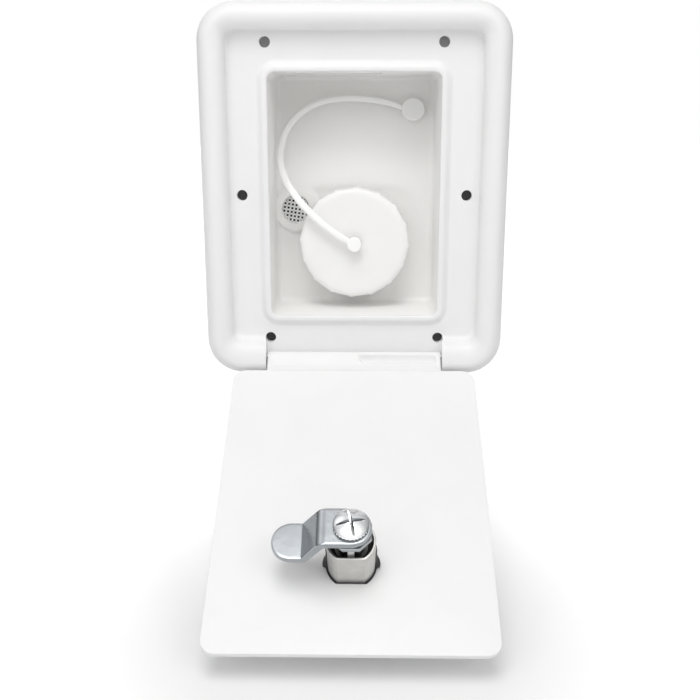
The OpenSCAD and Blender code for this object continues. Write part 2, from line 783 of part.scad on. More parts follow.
module cam() {
    color("silver") opened() difference() {
        intersection() {
            translate([0, 0, lock_z - cam_w / 2]) linear_extrude(cam_w) cam_section();
            union() {
                bar(0, lock_z, 0, 2 * cam_h, cam_w);
                bar(-cam_l + cam_w / 2, lock_z, 0, 2 * cam_h, cam_w);
                translate([-cam_l + cam_w / 2, 0, lock_z - cam_w / 2])
                    cube([cam_l - cam_w / 2, 2 * cam_h, cam_w]);
            }
        }
        translate([0, 0, lock_z]) plate(lid_inner_y + cam_h - cam_t - cut, cam_t + 2 * cut)
            square(plug_square + 2 * fit_gap, center = true);
    }
}

// Pan head with a cross recess, and a shank in the plug
module cam_screw() {
    seat = lid_inner_y + cam_h;
    edge_h = 1.5;
    cross_l = 6.4;
    cross_w = 1.2;
    cross_depth = 2.2;
    cross_turn = 20;
    dome = screw_head_h - edge_h;
    dome_r = (pow(screw_head_d / 2, 2) + dome * dome) / (2 * dome);
    color("silver") opened() difference() {
        translate([0, seat, lock_z]) rotate([-90, 0, 0]) union() {
            cylinder(d = screw_head_d, h = edge_h, $fn = round_fn);
            intersection() {
                translate([0, 0, edge_h + dome - dome_r]) sphere(dome_r, $fn = round_fn);
                cylinder(d = screw_head_d, h = screw_head_h + cut, $fn = round_fn);
            }
            translate([0, 0, -stop_t - cam_t + touch_gap])
                cylinder(d = shank_d, h = stop_t + cam_t - touch_gap + fit_gap, $fn = round_fn);
        }
        for (turn = [cross_turn, cross_turn + 90])
            translate([0, seat + screw_head_h - cross_depth, lock_z]) rotate([0, turn, 0])
                translate([-cross_l / 2, 0, -cross_w / 2]) cube([cross_l, cross_depth + cut, cross_w]);
    }
}

module strap_knob() {
    collar_step = 0.8;
    color("white") union() {
        bar(0, neck_z, cap_face_y - rivet_h - knob_t, cap_face_y - rivet_h, knob_d);
        bar(0, neck_z, cap_face_y - rivet_h - fit_gap, cap_face_y - rivet_head_gap,
            knob_d - 2 * collar_step);
        bar(0, neck_z, cap_face_y - rivet_head_gap - fit_gap, cap_face_y + cap_face_t,
            rivet_hole_d - 2 * pin_run_gap);
    }
}

module cap_seal() {
    color([0.85, 0.85, 0.82])
        bar(0, neck_z, cap_face_y + cap_face_t + seal_gap, cap_face_y + cap_face_t + seal_t,
            cap_bore_d - 2 * seal_side_gap);
}

module filler_cap() {
    scoop_r = 14;
    rib_turn = 0.15;
    cap_r = cap_d / 2;
    section = concat(
        [[rivet_hole_d / 2, cap_face_y], [cap_r - cap_shoulder_w, cap_face_y]],
        arc_points([cap_r - cap_shoulder_w, cap_face_y + cap_shoulder_h], cap_shoulder_w,
            cap_shoulder_h, -90, 0, 8),
        [[cap_r, cap_back_y], [cap_bore_d / 2, cap_back_y],
            [cap_bore_d / 2, cap_face_y + cap_face_t], [rivet_hole_d / 2, cap_face_y + cap_face_t]]
    );
    color("white") translate([0, 0, neck_z]) difference() {
        rotate([-90, 0, 0]) rotate_extrude($fn = round_fn) polygon(section);
        for (i = [0:cap_ribs - 1])
            rotate([0, (i + rib_turn) * 360 / cap_ribs, 0])
                bar(cap_r - rib_depth + scoop_r, 0, cap_face_y - cut, cap_back_y + cut, 2 * scoop_r);
    }
}

frame();
left_wall();
right_wall();
ceiling();
compartment_floor();
lower_back_wall();
upper_back_wall();
cam_hood();
filler_neck();
hose_spigot();
vent_ring();
vent_mesh();
breather_spigot();
anchor_boss();
strap_anchor();
cap_strap();
hinge_pin_left();
hinge_pin_right();
lid_panel();
hinge_leaf();
lock_body();
lock_collar();
lock_gasket();
lock_clips();
lock_plug();
stop_plate();
cam();
cam_screw();
strap_knob();
cap_seal();
filler_cap();
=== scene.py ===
import json
import math

import bmesh
import bpy
import numpy as np
from mathutils import Matrix, Vector


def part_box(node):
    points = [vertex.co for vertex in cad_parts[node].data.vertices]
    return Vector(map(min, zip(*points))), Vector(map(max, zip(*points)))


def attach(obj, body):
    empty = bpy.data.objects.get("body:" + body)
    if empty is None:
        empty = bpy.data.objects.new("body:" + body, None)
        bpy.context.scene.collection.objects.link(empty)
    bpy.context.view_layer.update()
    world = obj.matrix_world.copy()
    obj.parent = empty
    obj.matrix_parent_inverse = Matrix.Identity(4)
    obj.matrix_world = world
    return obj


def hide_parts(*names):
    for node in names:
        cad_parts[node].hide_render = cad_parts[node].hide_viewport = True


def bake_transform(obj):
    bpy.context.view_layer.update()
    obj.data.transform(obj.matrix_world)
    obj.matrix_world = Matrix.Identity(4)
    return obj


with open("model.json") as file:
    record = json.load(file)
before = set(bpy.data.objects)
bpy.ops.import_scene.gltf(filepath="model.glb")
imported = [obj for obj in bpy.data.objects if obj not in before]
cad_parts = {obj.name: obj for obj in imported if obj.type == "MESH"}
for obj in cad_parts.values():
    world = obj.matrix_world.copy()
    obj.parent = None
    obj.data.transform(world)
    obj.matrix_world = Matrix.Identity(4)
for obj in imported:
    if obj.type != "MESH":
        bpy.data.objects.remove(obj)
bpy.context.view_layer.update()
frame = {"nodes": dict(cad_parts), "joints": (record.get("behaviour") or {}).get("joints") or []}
nodes = frame["nodes"]

# Sizes below are in millimetres, and MM turns them into the frame's metres.
MM = 0.001

# Frame and recess. The outer size comes from the frame's own box.
FRAME_LOW, FRAME_HIGH = (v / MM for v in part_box("frame"))
FRAME_W = FRAME_HIGH.x - FRAME_LOW.x
RIM_H = -FRAME_LOW.y
CORNER_R = 17
CROWN_IN = 6.5
EDGE_STRAIGHT = 2.5
LIP_DROP = 5
RIM_SIDE = 12.6
RIM_TOP = 12.3
RIM_BOTTOM = 15.4
RECESS_R = 5.3
FLANGE_T = 3
NOTCH_W = 84.8
RECESS_COVE = 0.7
RECESS_FOOT = 2.4
SCREW_D = 5
CORNER_SCREW_X = 40.5
CORNER_SCREW_Z = 68.3
SIDE_SCREW_X = 52.5
SCREW_PLACES = [(x * CORNER_SCREW_X, z * CORNER_SCREW_Z) for x in (-1, 1) for z in (-1, 1)]
SCREW_PLACES += [(-SIDE_SCREW_X, 0), (SIDE_SCREW_X, 0)]
SHARP_ANGLE = 34

# Compartment, from its walls' boxes
FLOOR_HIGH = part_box("compartment_floor")[1] / MM
CEILING_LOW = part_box("ceiling")[0] / MM
BOX_HALF_W = FLOOR_HIGH.x
BOX_BOTTOM = FLOOR_HIGH.z
BOX_TOP = CEILING_LOW.z
BOX_DEPTH = FLOOR_HIGH.y
BOX_DEPTH_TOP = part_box("ceiling")[1].y / MM
SLOPE_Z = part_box("upper_back_wall")[0].z / MM
WALL_T = 2
OPENING_R = 3.6
BEAD_FOOT = 5.6
BEAD_CREST = 1.7
BEAD_EDGE_R = 0.9
BEAD_H = 2.2
TUB_ROUND = 2.6

# Hinge, lid and lock
LID_JOINT = next(joint for joint in frame["joints"] if joint["name"] == "lid_hinge")
LID_OPEN = math.radians(LID_JOINT["range_deg"][1])
HINGE = Vector(LID_JOINT["pos_m"]) / MM
LID_HALF_W = 57.7
LID_INNER_Y = -6.5
LID_T = 3
LID_OUTER_Y = LID_INNER_Y - LID_T
LID_LOW_Z = -68.8
LID_HIGH_Z = 72.6
LID_CORNER_R = 6
LOCK_DOWN = 20.2
LOCK_Z = BOX_TOP - LOCK_DOWN
LOCK_D = 19.6
LOCK_FLATS = 16.4
LOCK_H = 19.6
LOCK_TOP_Y = LID_INNER_Y + LOCK_H
CAM_H = 30.2
CAM_TOP_Y = LID_INNER_Y + CAM_H
CAM_T = 3
CAM_UNDER_Y = CAM_TOP_Y - CAM_T
CAM_W = 16
CAM_L = 31.3
TIP_H = 19
BEND_NEAR = 11.9
BEND_FAR = 19.3
STOP_T = 2.6

# Cap and strap
NECK_Z = -24.3
CAP_FACE_Y = 10
CAP_L = 12.6
CAP_R = 27.2
CAP_BORE_R = 22.5
CAP_FACE_T = 2.4
CAP_SHOULDER_W = 3.6
CAP_SHOULDER_H = 1.8
CAP_RIBS = 16
RIVET_HOLE_R = 2
KNOB_R = 3.5
KNOB_T = 3.4
KNOB_FRONT_Y = 4

# Dish round the neck, and vent
DISH_R = 36
DISH_DEPTH = 0.5
DISH_EDGE = 5
VENT_CLEAR_R = 11
FOLD_SOFT = 4
NECK_D = 44
VENT_SIDE = 9.8
VENT_UP = 14.7
VENT_X = -(BOX_HALF_W - VENT_SIDE)
VENT_Z = NECK_Z + VENT_UP
GAUZE_R = 7.18
GAUZE_PITCH = 1.9
GAUZE_BAR = 0.82
GAUZE_T = 0.8
GAUZE_TURN = math.radians(9.5)


# Meshes

def shade(piece, angle):
    """Shades a piece smooth, except across edges that turn by more than angle degrees."""
    piece.data.shade_smooth()
    piece.data.set_sharp_from_angle(angle=math.radians(angle))


def add_mesh(name, points, faces, body, material, smooth_angle=40):
    """Makes a piece from points in millimetres and lets it ride on a body."""
    mesh = bpy.data.meshes.new(name)
    mesh.from_pydata([Vector(p) * MM for p in points], [], faces)
    work = bmesh.new()
    work.from_mesh(mesh)
    bmesh.ops.remove_doubles(work, verts=work.verts, dist=1e-7)
    bmesh.ops.recalc_face_normals(work, faces=work.faces)
    work.to_mesh(mesh)
    work.free()
    piece = bpy.data.objects.new(name, mesh)
    shade(piece, smooth_angle)
    bpy.context.scene.collection.objects.link(piece)
    piece.data.materials.append(material)
    if body:
        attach(piece, body)
    return piece


def loft(rings, closed_loop=False, caps=False):
    """Points and faces of a skin over rings that have the same number of points."""
    count = len(rings[0])
    points = [p for ring in rings for p in ring]
    faces = []
    spans = len(rings) if closed_loop else len(rings) - 1
    for i in range(spans):
        a, b = i * count, ((i + 1) % len(rings)) * count
        for k in range(count):
            m = (k + 1) % count
            faces.append((a + k, a + m, b + m, b + k))
    if caps:
        faces.append(tuple(range(count)))
        faces.append(tuple(range(len(points) - 1, len(points) - 1 - count, -1)))
    return points, faces


def gather(meshes):
    """Points and faces of several meshes as one."""
    points, faces = [], []
    for more_points, more_faces in meshes:
        faces += [tuple(i + len(points) for i in face) for face in more_faces]
        points += more_points
    return points, faces


def lathe(profile, segments):
    """Rings round the y axis for a profile of (radius, y) pairs."""
    return [[(r * math.cos(2 * math.pi * k / segments), y, r * math.sin(2 * math.pi * k / segments))
             for k in range(segments)] for r, y in profile]


def arc(mid, radius, start, end, steps):
    """Points on a circle round mid, from start to end degrees."""
    return [(mid[0] + radius * math.cos(math.radians(start + (end - start) * i / steps)),
             mid[1] + radius * math.sin(math.radians(start + (end - start) * i / steps)))
            for i in range(steps + 1)]


def rounded_ring(half_w, low_z, high_z, radius, depth, side_zs=(), steps=10):
    """A rounded rectangle in x and z. depth is a height y, or a function of z that gives one."""
    ring = []
    corners = [(half_w - radius, high_z - radius, 0), (-half_w + radius, high_z - radius, 90),
               (-half_w + radius, low_z + radius, 180), (half_w - radius, low_z + radius, 270)]
    for number, (x, z, start) in enumerate(corners):
        ring += arc((x, z), radius, start, start + 90, steps)
        if number == 1:
            ring += [(-half_w, side_z) for side_z in sorted(side_zs, reverse=True)]
        if number == 3:
            ring += [(half_w, side_z) for side_z in sorted(side_zs)]
    return [(x, depth(z) if callable(depth) else depth, z) for x, z in ring]


def opened(points):
    """Swings points drawn on the closed lid down to its open place."""
    turn = Matrix.Rotation(LID_OPEN, 3, "X")
    return [turn @ (Vector(p) - HINGE) + HINGE for p in points]


def open_mesh(piece, angle):
    """Swings a whole mesh, made in the closed lid's place, down to its open place, and shades it."""
    turn = Matrix.Rotation(LID_OPEN, 4, "X")
    piece.data.transform(Matrix.Translation(HINGE * MM) @ turn @ Matrix.Translation(-HINGE * MM))
    shade(piece, angle)


def moved(points, x=0, z=0):
    """Points shifted in x and z."""
    return [(p[0] + x, p[1], p[2] + z) for p in points]


def bar_mesh(x, z, y0, y1, radius, segments=48):
    """Points and faces of a closed round bar along y."""
    points, faces = loft(lathe([(radius, y0), (radius, y1)], segments), caps=True)
    return moved(points, x=x, z=z), faces


def box_mesh(low, high):
    """Points and faces of a box between two corners."""
    xs, ys, zs = zip(low, high)
    points = [(x, y, z) for x in xs for y in ys for z in zs]
    faces = [(0, 1, 3, 2), (4, 6, 7, 5), (0, 4, 5, 1), (2, 3, 7, 6), (0, 2, 6, 4), (1, 5, 7, 3)]
    return points, faces


def cut_out(piece, *tools):
    """Takes closed meshes, given as points and faces, out of a piece."""
    for points, faces in tools:
        cutter = add_mesh("cutter", points, faces, None, piece.data.materials[0])
        change = piece.modifiers.new("cut", "BOOLEAN")
        change.operation = "DIFFERENCE"
        change.solver = "EXACT"
        change.object = cutter
        bpy.context.view_layer.update()
        graph = bpy.context.evaluated_depsgraph_get()
        mesh = bpy.data.meshes.new_from_object(piece.evaluated_get(graph))
        piece.modifiers.clear()
        old = piece.data
        piece.data = mesh
        bpy.data.meshes.remove(old)
        bpy.data.objects.remove(cutter)


def soften(node, width):
    """Rounds the sharp edges of a carried-over node."""
    change = nodes[node].modifiers.new("edges", "BEVEL")
    change.width = width * MM
    change.segments = 3
    change.limit_method = "ANGLE"
    change.angle_limit = math.radians(35)
    change.harden_normals = True


def dress(node, material):
    """Gives a carried-over node its material."""
    slots = nodes[node].data.materials
    slots.clear()
    slots.append(material)


# Materials

def new_material(name):
    """A material with its node tree and its shader."""
    material = bpy.data.materials.new(name)
    material.use_nodes = True
    tree = material.node_tree
    return material, tree, tree.nodes["Principled BSDF"]


def object_place(tree):
    """The object's own coordinates."""
    return tree.nodes.new("ShaderNodeTexCoord").outputs["Object"]


def noise(tree, place, scale, detail, roughness, distortion=0.0):
    """Output of a noise texture."""
    node = tree.nodes.new("ShaderNodeTexNoise")
    node.inputs["Scale"].default_value = scale
    node.inputs["Detail"].default_value = detail
    node.inputs["Roughness"].default_value = roughness
    node.inputs["Distortion"].default_value = distortion
    tree.links.new(place, node.inputs["Vector"])
    return node.outputs["Fac"]


def ramp(tree, value, stops):
    """Turns a value into a colour. stops are pairs of a position and a colour."""
    node = tree.nodes.new("ShaderNodeValToRGB")
    while len(node.color_ramp.elements) < len(stops):
        node.color_ramp.elements.new(0.5)
    for element, (position, colour) in zip(node.color_ramp.elements, stops):
        element.position = position
        element.color = (*colour, 1)
    tree.links.new(value, node.inputs["Fac"])
    return node.outputs["Color"]


def grey(value):
    """A colour without a hue."""
    return (value, value, value)


def bump(tree, shader, height, strength, distance):
    """Gives a shader a fine relief, distance millimetres deep."""
    node = tree.nodes.new("ShaderNodeBump")
    node.inputs["Strength"].default_value = strength
    node.inputs["Distance"].default_value = distance * MM
    tree.links.new(height, node.inputs["Height"])
    tree.links.new(node.outputs["Normal"], shader.inputs["Normal"])


def moulded(name, colour, roughness, grain=900):
    """Injection-moulded plastic: a soft sheen, faint flow marks and a fine grain."""
    grain_depth = 0.012
    material, tree, shader = new_material(name)
    place = object_place(tree)
    low = tuple(c * 0.985 for c in colour)
    flow = noise(tree, place, 38, 4, 0.55, 0.6)
    tree.links.new(ramp(tree, flow, [(0.35, low), (0.62, colour)]), shader.inputs["Base Color"])
    sheen = noise(tree, place, 160, 5, 0.6)
    tree.links.new(ramp(tree, sheen, [(0.3, grey(roughness - 0.05)), (0.7, grey(roughness + 0.06))]),
                   shader.inputs["Roughness"])
    bump(tree, shader, noise(tree, place, grain, 3, 0.5), 0.35, grain_depth)
    return material


def metal(name, colour, roughness, scale, grain=(1, 1, 1), depth=0.01, spread=0.08, painted_hollow_shade=None):
    """Plated or cast metal with a fine grain and slight patches in its shine. painted_hollow_shade gives how
    far painted shade reaches out of the hollows, and how dark it is there."""
    material, tree, shader = new_material(name)
    stretch = tree.nodes.new("ShaderNodeMapping")
    stretch.inputs["Scale"].default_value = grain
    tree.links.new(object_place(tree), stretch.inputs["Vector"])
    along = stretch.outputs["Vector"]
    dark = tuple(c * 0.88 for c in colour)
    patches = noise(tree, along, scale * 0.25, 4, 0.6)
    tint = ramp(tree, patches, [(0.3, dark), (0.65, colour)])
    # Painted shade: ambient occlusion darkens the colour in hollows and creases, where shade falls.
    if painted_hollow_shade:
        hollow = tree.nodes.new("ShaderNodeAmbientOcclusion")
        reach, darkest = painted_hollow_shade
        hollow.inputs["Distance"].default_value = reach * MM
        mix = tree.nodes.new("ShaderNodeMix")
        mix.data_type = "RGBA"
        mix.blend_type = "MULTIPLY"
        mix.inputs["Factor"].default_value = 1
        tree.links.new(tint, mix.inputs["A"])
        tree.links.new(ramp(tree, hollow.outputs["AO"], [(0.6, grey(darkest)), (0.97, grey(1.0))]),
                       mix.inputs["B"])
        tint = mix.outputs["Result"]
    tree.links.new(tint, shader.inputs["Base Color"])
    tree.links.new(ramp(tree, noise(tree, along, scale, 4, 0.6),
                        [(0.3, grey(roughness)), (0.7, grey(roughness + spread))]),
                   shader.inputs["Roughness"])
    shader.inputs["Metallic"].default_value = 1.0
    bump(tree, shader, noise(tree, along, scale * 1.6, 3, 0.5), 0.3, depth)
    return material


white = moulded("white_plastic", (0.835, 0.833, 0.833), 0.46)
# Painted light: the lid is the frame's plastic made lighter, standing in for the light from above that falls
# on it.
lid_painted_light = moulded("lid_plastic_painted_light", (0.868, 0.867, 0.867), 0.46)
# Painted shade: the hinge leaf is the lid's plastic kept darker than the lid, to tone down the light it
# catches.
leaf_painted_shade = moulded("hinge_plastic_painted_shade", (0.835, 0.83, 0.83), 0.5)
# Painted light: the compartment, part of the frame's moulding, is made much lighter than the frame, standing
# in for light inside it.
tub_painted_light = moulded("compartment_plastic_painted_light", (0.95, 0.945, 0.932), 0.4)
cap_white = moulded("cap_plastic", (0.875, 0.87, 0.86), 0.46, grain=1100)
# Painted light: the strap, its knob and its anchor are made lighter, standing in for light in the
# compartment's shade.
strap_painted_light = moulded("strap_plastic", (0.95, 0.95, 0.942), 0.42, grain=1300)
# Painted light: the gauze is made lighter, standing in for light on its bars in the strap's shadow.
gauze = moulded("gauze_plastic_painted_light", (0.95, 0.95, 0.935), 0.5, grain=2500)
pale = moulded("plug_stop_grey", (0.82, 0.82, 0.8), 0.4, grain=1500)
# Painted shade: the lock's body and plug are darkened deep in the body's hollow, where shade falls.
cast = metal("lock_metal", (0.59, 0.585, 0.565), 0.28, 900, painted_hollow_shade=(5, 0.02))
plug_metal = metal("plug_metal", (0.72, 0.72, 0.7), 0.28, 900, painted_hollow_shade=(4, 0.05))
zinc = metal("cam_metal", (0.38, 0.4, 0.415), 0.21, 260, grain=(1, 1, 3), depth=0.004, spread=0.05)
# Painted shade: the screw's chrome is darkened in its ridges and cross recess.
chrome = metal("screw_chrome", (0.78, 0.79, 0.8), 0.1, 500, depth=0.002, spread=0.03, painted_hollow_shade=(0.7, 0.45))
steel = metal("pin_steel", (0.62, 0.63, 0.64), 0.25, 900, grain=(0.2, 1, 1))
black = moulded("black_rubber", (0.02, 0.02, 0.021), 0.5, grain=1500)
seal = moulded("seal_rubber", (0.12, 0.12, 0.12), 0.6, grain=1500)


# Camera

def make_camera():
    """The photograph's camera, fitted to the frame, its holes, the opening and the lid."""
    data = bpy.data.cameras.new("camera")
    data.lens = 46.75
    data.sensor_width = 36
    data.clip_start = 0.01
    camera = bpy.data.objects.new("camera", data)
    bpy.context.scene.collection.objects.link(camera)
    camera.location = Vector((4.32, -432.63, 36.93)) * MM
    look = Vector((-0.0142, 0.9678, -0.2514))
    camera.rotation_euler = look.to_track_quat("-Z", "Y").to_euler()
    bpy.context.scene.camera = camera


# Frame and compartment

def rim_ring(inset, height, radius=None, foot=0.0):
    """A ring on the rim. Past the crown the rim's width differs at the sides, top and bottom, and
    foot leans its inner wall out at the bottom."""
    share = max(0.0, (inset - CROWN_IN) / (RIM_SIDE - CROWN_IN))
    top = inset + share * (RIM_TOP - RIM_SIDE)
    bottom = inset + share * (RIM_BOTTOM - RIM_SIDE) + foot
    if radius is None:
        radius = (CORNER_R - inset) * (1 - min(share, 1)) + RECESS_R * min(share, 1)
    return rounded_ring(FRAME_W / 2 - inset, FRAME_LOW.z + bottom, FRAME_HIGH.z - top, radius, -height)


def bead_ring(out, height):
    """A ring round the compartment's opening, out from its edge."""
    return rounded_ring(BOX_HALF_W + out, BOX_BOTTOM - out, BOX_TOP + out, OPENING_R + out, -height)


def make_frame():
    """The moulding as one skin: its outer edge and crown, the rim's inner side, a cove, the recess's
    floor with the bead round the opening, and its back."""
    crown_steps, bead_steps, hidden_r = 16, 12, 0.2
    quarter = [math.radians(90 * step / crown_steps) for step in range(1, crown_steps + 1)]
    rings = [rim_ring(0.4, 0), rim_ring(0.1, 0.1), rim_ring(0, 0.4), rim_ring(0, EDGE_STRAIGHT)]
    for angle in quarter:
        rings.append(rim_ring(CROWN_IN * (1 - math.cos(angle)),
                              EDGE_STRAIGHT + (RIM_H - EDGE_STRAIGHT) * math.sin(angle)))
    for angle in quarter:
        rings.append(rim_ring(CROWN_IN + (RIM_SIDE - CROWN_IN) * math.sin(angle),
                              RIM_H - LIP_DROP * (1 - math.cos(angle))))
    wall_top = RIM_H - LIP_DROP
    for inset, height in arc((RIM_SIDE + RECESS_COVE, FLANGE_T + RECESS_COVE), RECESS_COVE, 180, 270, 6):
        foot = RECESS_FOOT * (wall_top - height) / (wall_top - FLANGE_T)
        rings.append(rim_ring(inset, height, RECESS_R, foot))
    for step in range(bead_steps + 1):
        share = step / bead_steps
        rings.append(bead_ring(BEAD_FOOT + share * (BEAD_CREST - BEAD_FOOT),
                               FLANGE_T + BEAD_H * (1 - math.cos(math.pi * share)) / 2))
    for out, height in arc((BEAD_EDGE_R, FLANGE_T + BEAD_H - BEAD_EDGE_R), BEAD_EDGE_R, 90, 180, 6):
        rings.append(bead_ring(out, height))
    rings.append(bead_ring(0, FLANGE_T))
    for y in (-FLANGE_T, 0):
        rings.append(rounded_ring(BOX_HALF_W + WALL_T, BOX_BOTTOM - WALL_T, BOX_TOP + WALL_T, hidden_r, y))
    points, faces = loft(rings, closed_loop=True)
    piece = add_mesh("frame_moulding", points, faces, "root", white)
    beyond, over_cove, hole_end = 2, 1.5, 5
    cuts = [bar_mesh(x, z, -RIM_H, hole_end, SCREW_D / 2) for x, z in SCREW_PLACES]
    cuts.append(box_mesh((-NOTCH_W / 2, -RIM_H - beyond, FRAME_LOW.z - beyond),
                         (NOTCH_W / 2, -FLANGE_T, FRAME_LOW.z + RIM_BOTTOM + RECESS_FOOT + over_cove)))
    pin_r, pin_half_l = 1.22, 6
    pin_points, pin_faces = loft(lathe([(pin_r, -pin_half_l), (pin_r, pin_half_l)], 32), caps=True)
    for side in (-1, 1):
        turned = [(p[1] + side * NOTCH_W / 2, p[0] + HINGE.y, p[2] + HINGE.z) for p in pin_points]
        cuts.append((turned, pin_faces))
    cut_out(piece, *cuts)
    shade(piece, SHARP_ANGLE)
    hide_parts("frame")


def back_depth(z):
    """Depth of the compartment's back wall at height z, with a soft fold where the slope starts."""
    rate = (BOX_DEPTH_TOP - BOX_DEPTH) / (BOX_TOP - SLOPE_Z)
    past = z - SLOPE_Z
    if past <= -FOLD_SOFT:
        return BOX_DEPTH
    if past >= FOLD_SOFT:
        return BOX_DEPTH + rate * past
    return BOX_DEPTH + rate * (past + FOLD_SOFT) ** 2 / (4 * FOLD_SOFT)


def smooth_step(value, low, high):
    """0 below low, 1 above high, and a smooth rise between them."""
    share = min(max((value - low) / (high - low), 0), 1)
    return share * share * (3 - 2 * share)


def make_tub():
    """The compartment's side walls, ceiling and floor, with rounded inner corners."""
    folds = [SLOPE_Z + FOLD_SOFT * share for share in (-1, -0.5, 0, 0.5, 1)]
    outer_r, least_r = 0.6, 0.5
    behind_sheet, short_of_corner = 0.03, 0.08

    def ring(out, depth):
        radius = max(OPENING_R + out, least_r) if out <= 0 else outer_r
        return rounded_ring(BOX_HALF_W + out, BOX_BOTTOM - out, BOX_TOP + out, radius, depth, side_zs=folds)

    rings = [ring(0, -FLANGE_T)]
    for share in (0.25, 0.5, 0.75):
        rings.append(ring(0, lambda z, s=share: -FLANGE_T + s * (back_depth(z) + FLANGE_T)))
    for inward, forward in arc((TUB_ROUND, TUB_ROUND), TUB_ROUND, 180, 270, 7):
        rings.append(ring(-inward, lambda z, f=forward: back_depth(z) - f + behind_sheet))
    rings.append(ring(0, lambda z: back_depth(z) + WALL_T / 2))
    rings.append(ring(0, lambda z: back_depth(z) + WALL_T - short_of_corner))
    rings.append(ring(WALL_T, lambda z: back_depth(z) + WALL_T))
    rings.append(ring(WALL_T, -FLANGE_T))
    points, faces = loft(rings, closed_loop=True)
    piece = add_mesh("compartment_tub", points, faces, "root", tub_painted_light)
    slot_left, slot_right, slot_near, slot_far, past_ceiling = -32, 13, 8, 24, 4
    cut_out(piece, box_mesh((slot_left, slot_near, BOX_TOP - past_ceiling),
                            (slot_right, slot_far, BOX_TOP + past_ceiling)))
    shade(piece, SHARP_ANGLE)
    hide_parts("left_wall", "right_wall", "ceiling", "compartment_floor")


def dish(x, z):
    """Depth of the shallow round dish that the neck stands in. It ends at the fold and the vent's ring."""
    top = SLOPE_Z - 1
    inside = 1 - smooth_step(math.hypot(x, z - NECK_Z), DISH_R - DISH_EDGE, DISH_R)
    below_fold = 1 - smooth_step(z, top - DISH_EDGE, top)
    off_vent = smooth_step(math.hypot(x - VENT_X, z - VENT_Z), VENT_CLEAR_R, VENT_CLEAR_R + 2)
    return DISH_DEPTH * inside * below_fold * off_vent


def make_back_wall():
    """The back wall in one sheet: a lower part with the dish, and a part that slopes away."""
    across = np.linspace(-BOX_HALF_W, BOX_HALF_W, 89)
    up = np.linspace(BOX_BOTTOM, BOX_TOP, 125)
    columns = len(across)
    points = [(x, back_depth(z) + dish(x, z), z) for z in up for x in across]
    points += [(x, back_depth(z) + WALL_T, z) for z in up for x in across]
    half = len(points) // 2
    faces = []
    for i in range(len(up) - 1):
        for k in range(columns - 1):
            a = i * columns + k
            faces.append((a, a + 1, a + 1 + columns, a + columns))
            faces.append((half + a, half + a + columns, half + a + 1 + columns, half + a + 1))
    border = list(range(columns)) + [i * columns + columns - 1 for i in range(1, len(up))]
    border += [(len(up) - 1) * columns + k for k in range(columns - 2, -1, -1)]
    border += [i * columns for i in range(len(up) - 2, 0, -1)]
    for a, b in zip(border, border[1:] + border[:1]):
        faces.append((a, half + a, half + b, b))
    piece = add_mesh("compartment_back", points, faces, "root", tub_painted_light)
    near, far = BOX_DEPTH - 3, BOX_DEPTH + 5
    cut_out(piece, bar_mesh(0, NECK_Z, near, far, NECK_D / 2, 96),
            bar_mesh(VENT_X, VENT_Z, near, far, GAUZE_R + 0.02, 64))
    shade(piece, SHARP_ANGLE)
    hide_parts("lower_back_wall", "upper_back_wall")


def make_gauze():
    """A moulded mesh: two crossed rows of bars with bevelled fronts, in a thin ring."""
    bars = []
    half, depth = GAUZE_BAR / 2, GAUZE_T
    bevel, flat_half = 0.12, half * 0.75
    section = [(-half, bevel), (-flat_half, 0), (flat_half, 0), (half, bevel), (half, depth), (-half, depth)]
    c, s = math.cos(GAUZE_TURN), math.sin(GAUZE_TURN)
    count = int((GAUZE_R - 0.2) // GAUZE_PITCH)
    for row in range(-count - 1, count + 1):
        off = (row + 0.5) * GAUZE_PITCH
        reach = math.sqrt(max(GAUZE_R ** 2 - off ** 2, 0)) - 0.1
        for along in (0, 1):
            rings = []
            for end in (-reach, reach):
                ring = []
                for side, back in section:
                    u, v = (end, off + side) if along else (off + side, end)
                    ring.append((VENT_X + u * c + v * s, BOX_DEPTH + back, VENT_Z - u * s + v * c))
                rings.append(ring)
            bars.append(loft(rings, caps=True))
    rim = [(GAUZE_R - inward, BOX_DEPTH + back) for inward, back in
           ((0, 0.15), (0.15, 0), (0.45, 0.1), (0.55, 0.3), (0.55, depth), (0, depth))]
    rim_points, rim_faces = loft(lathe(rim, 64), closed_loop=True)
    points, faces = gather(bars + [(moved(rim_points, x=VENT_X, z=VENT_Z), rim_faces)])
    piece = add_mesh("vent_gauze", points, faces, "root", gauze)
    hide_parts("vent_mesh")


# Cap, knob and strap

def rib(angle):
    """1 at the tip of each rib of the cap, falling off in a hollow to nearly 0 between them."""
    turn, sharpness = 0.15, 5.5
    off = (angle * CAP_RIBS / (2 * math.pi) - turn + 0.5) % 1 - 0.5
    return (1 - abs(2 * off)) ** sharpness


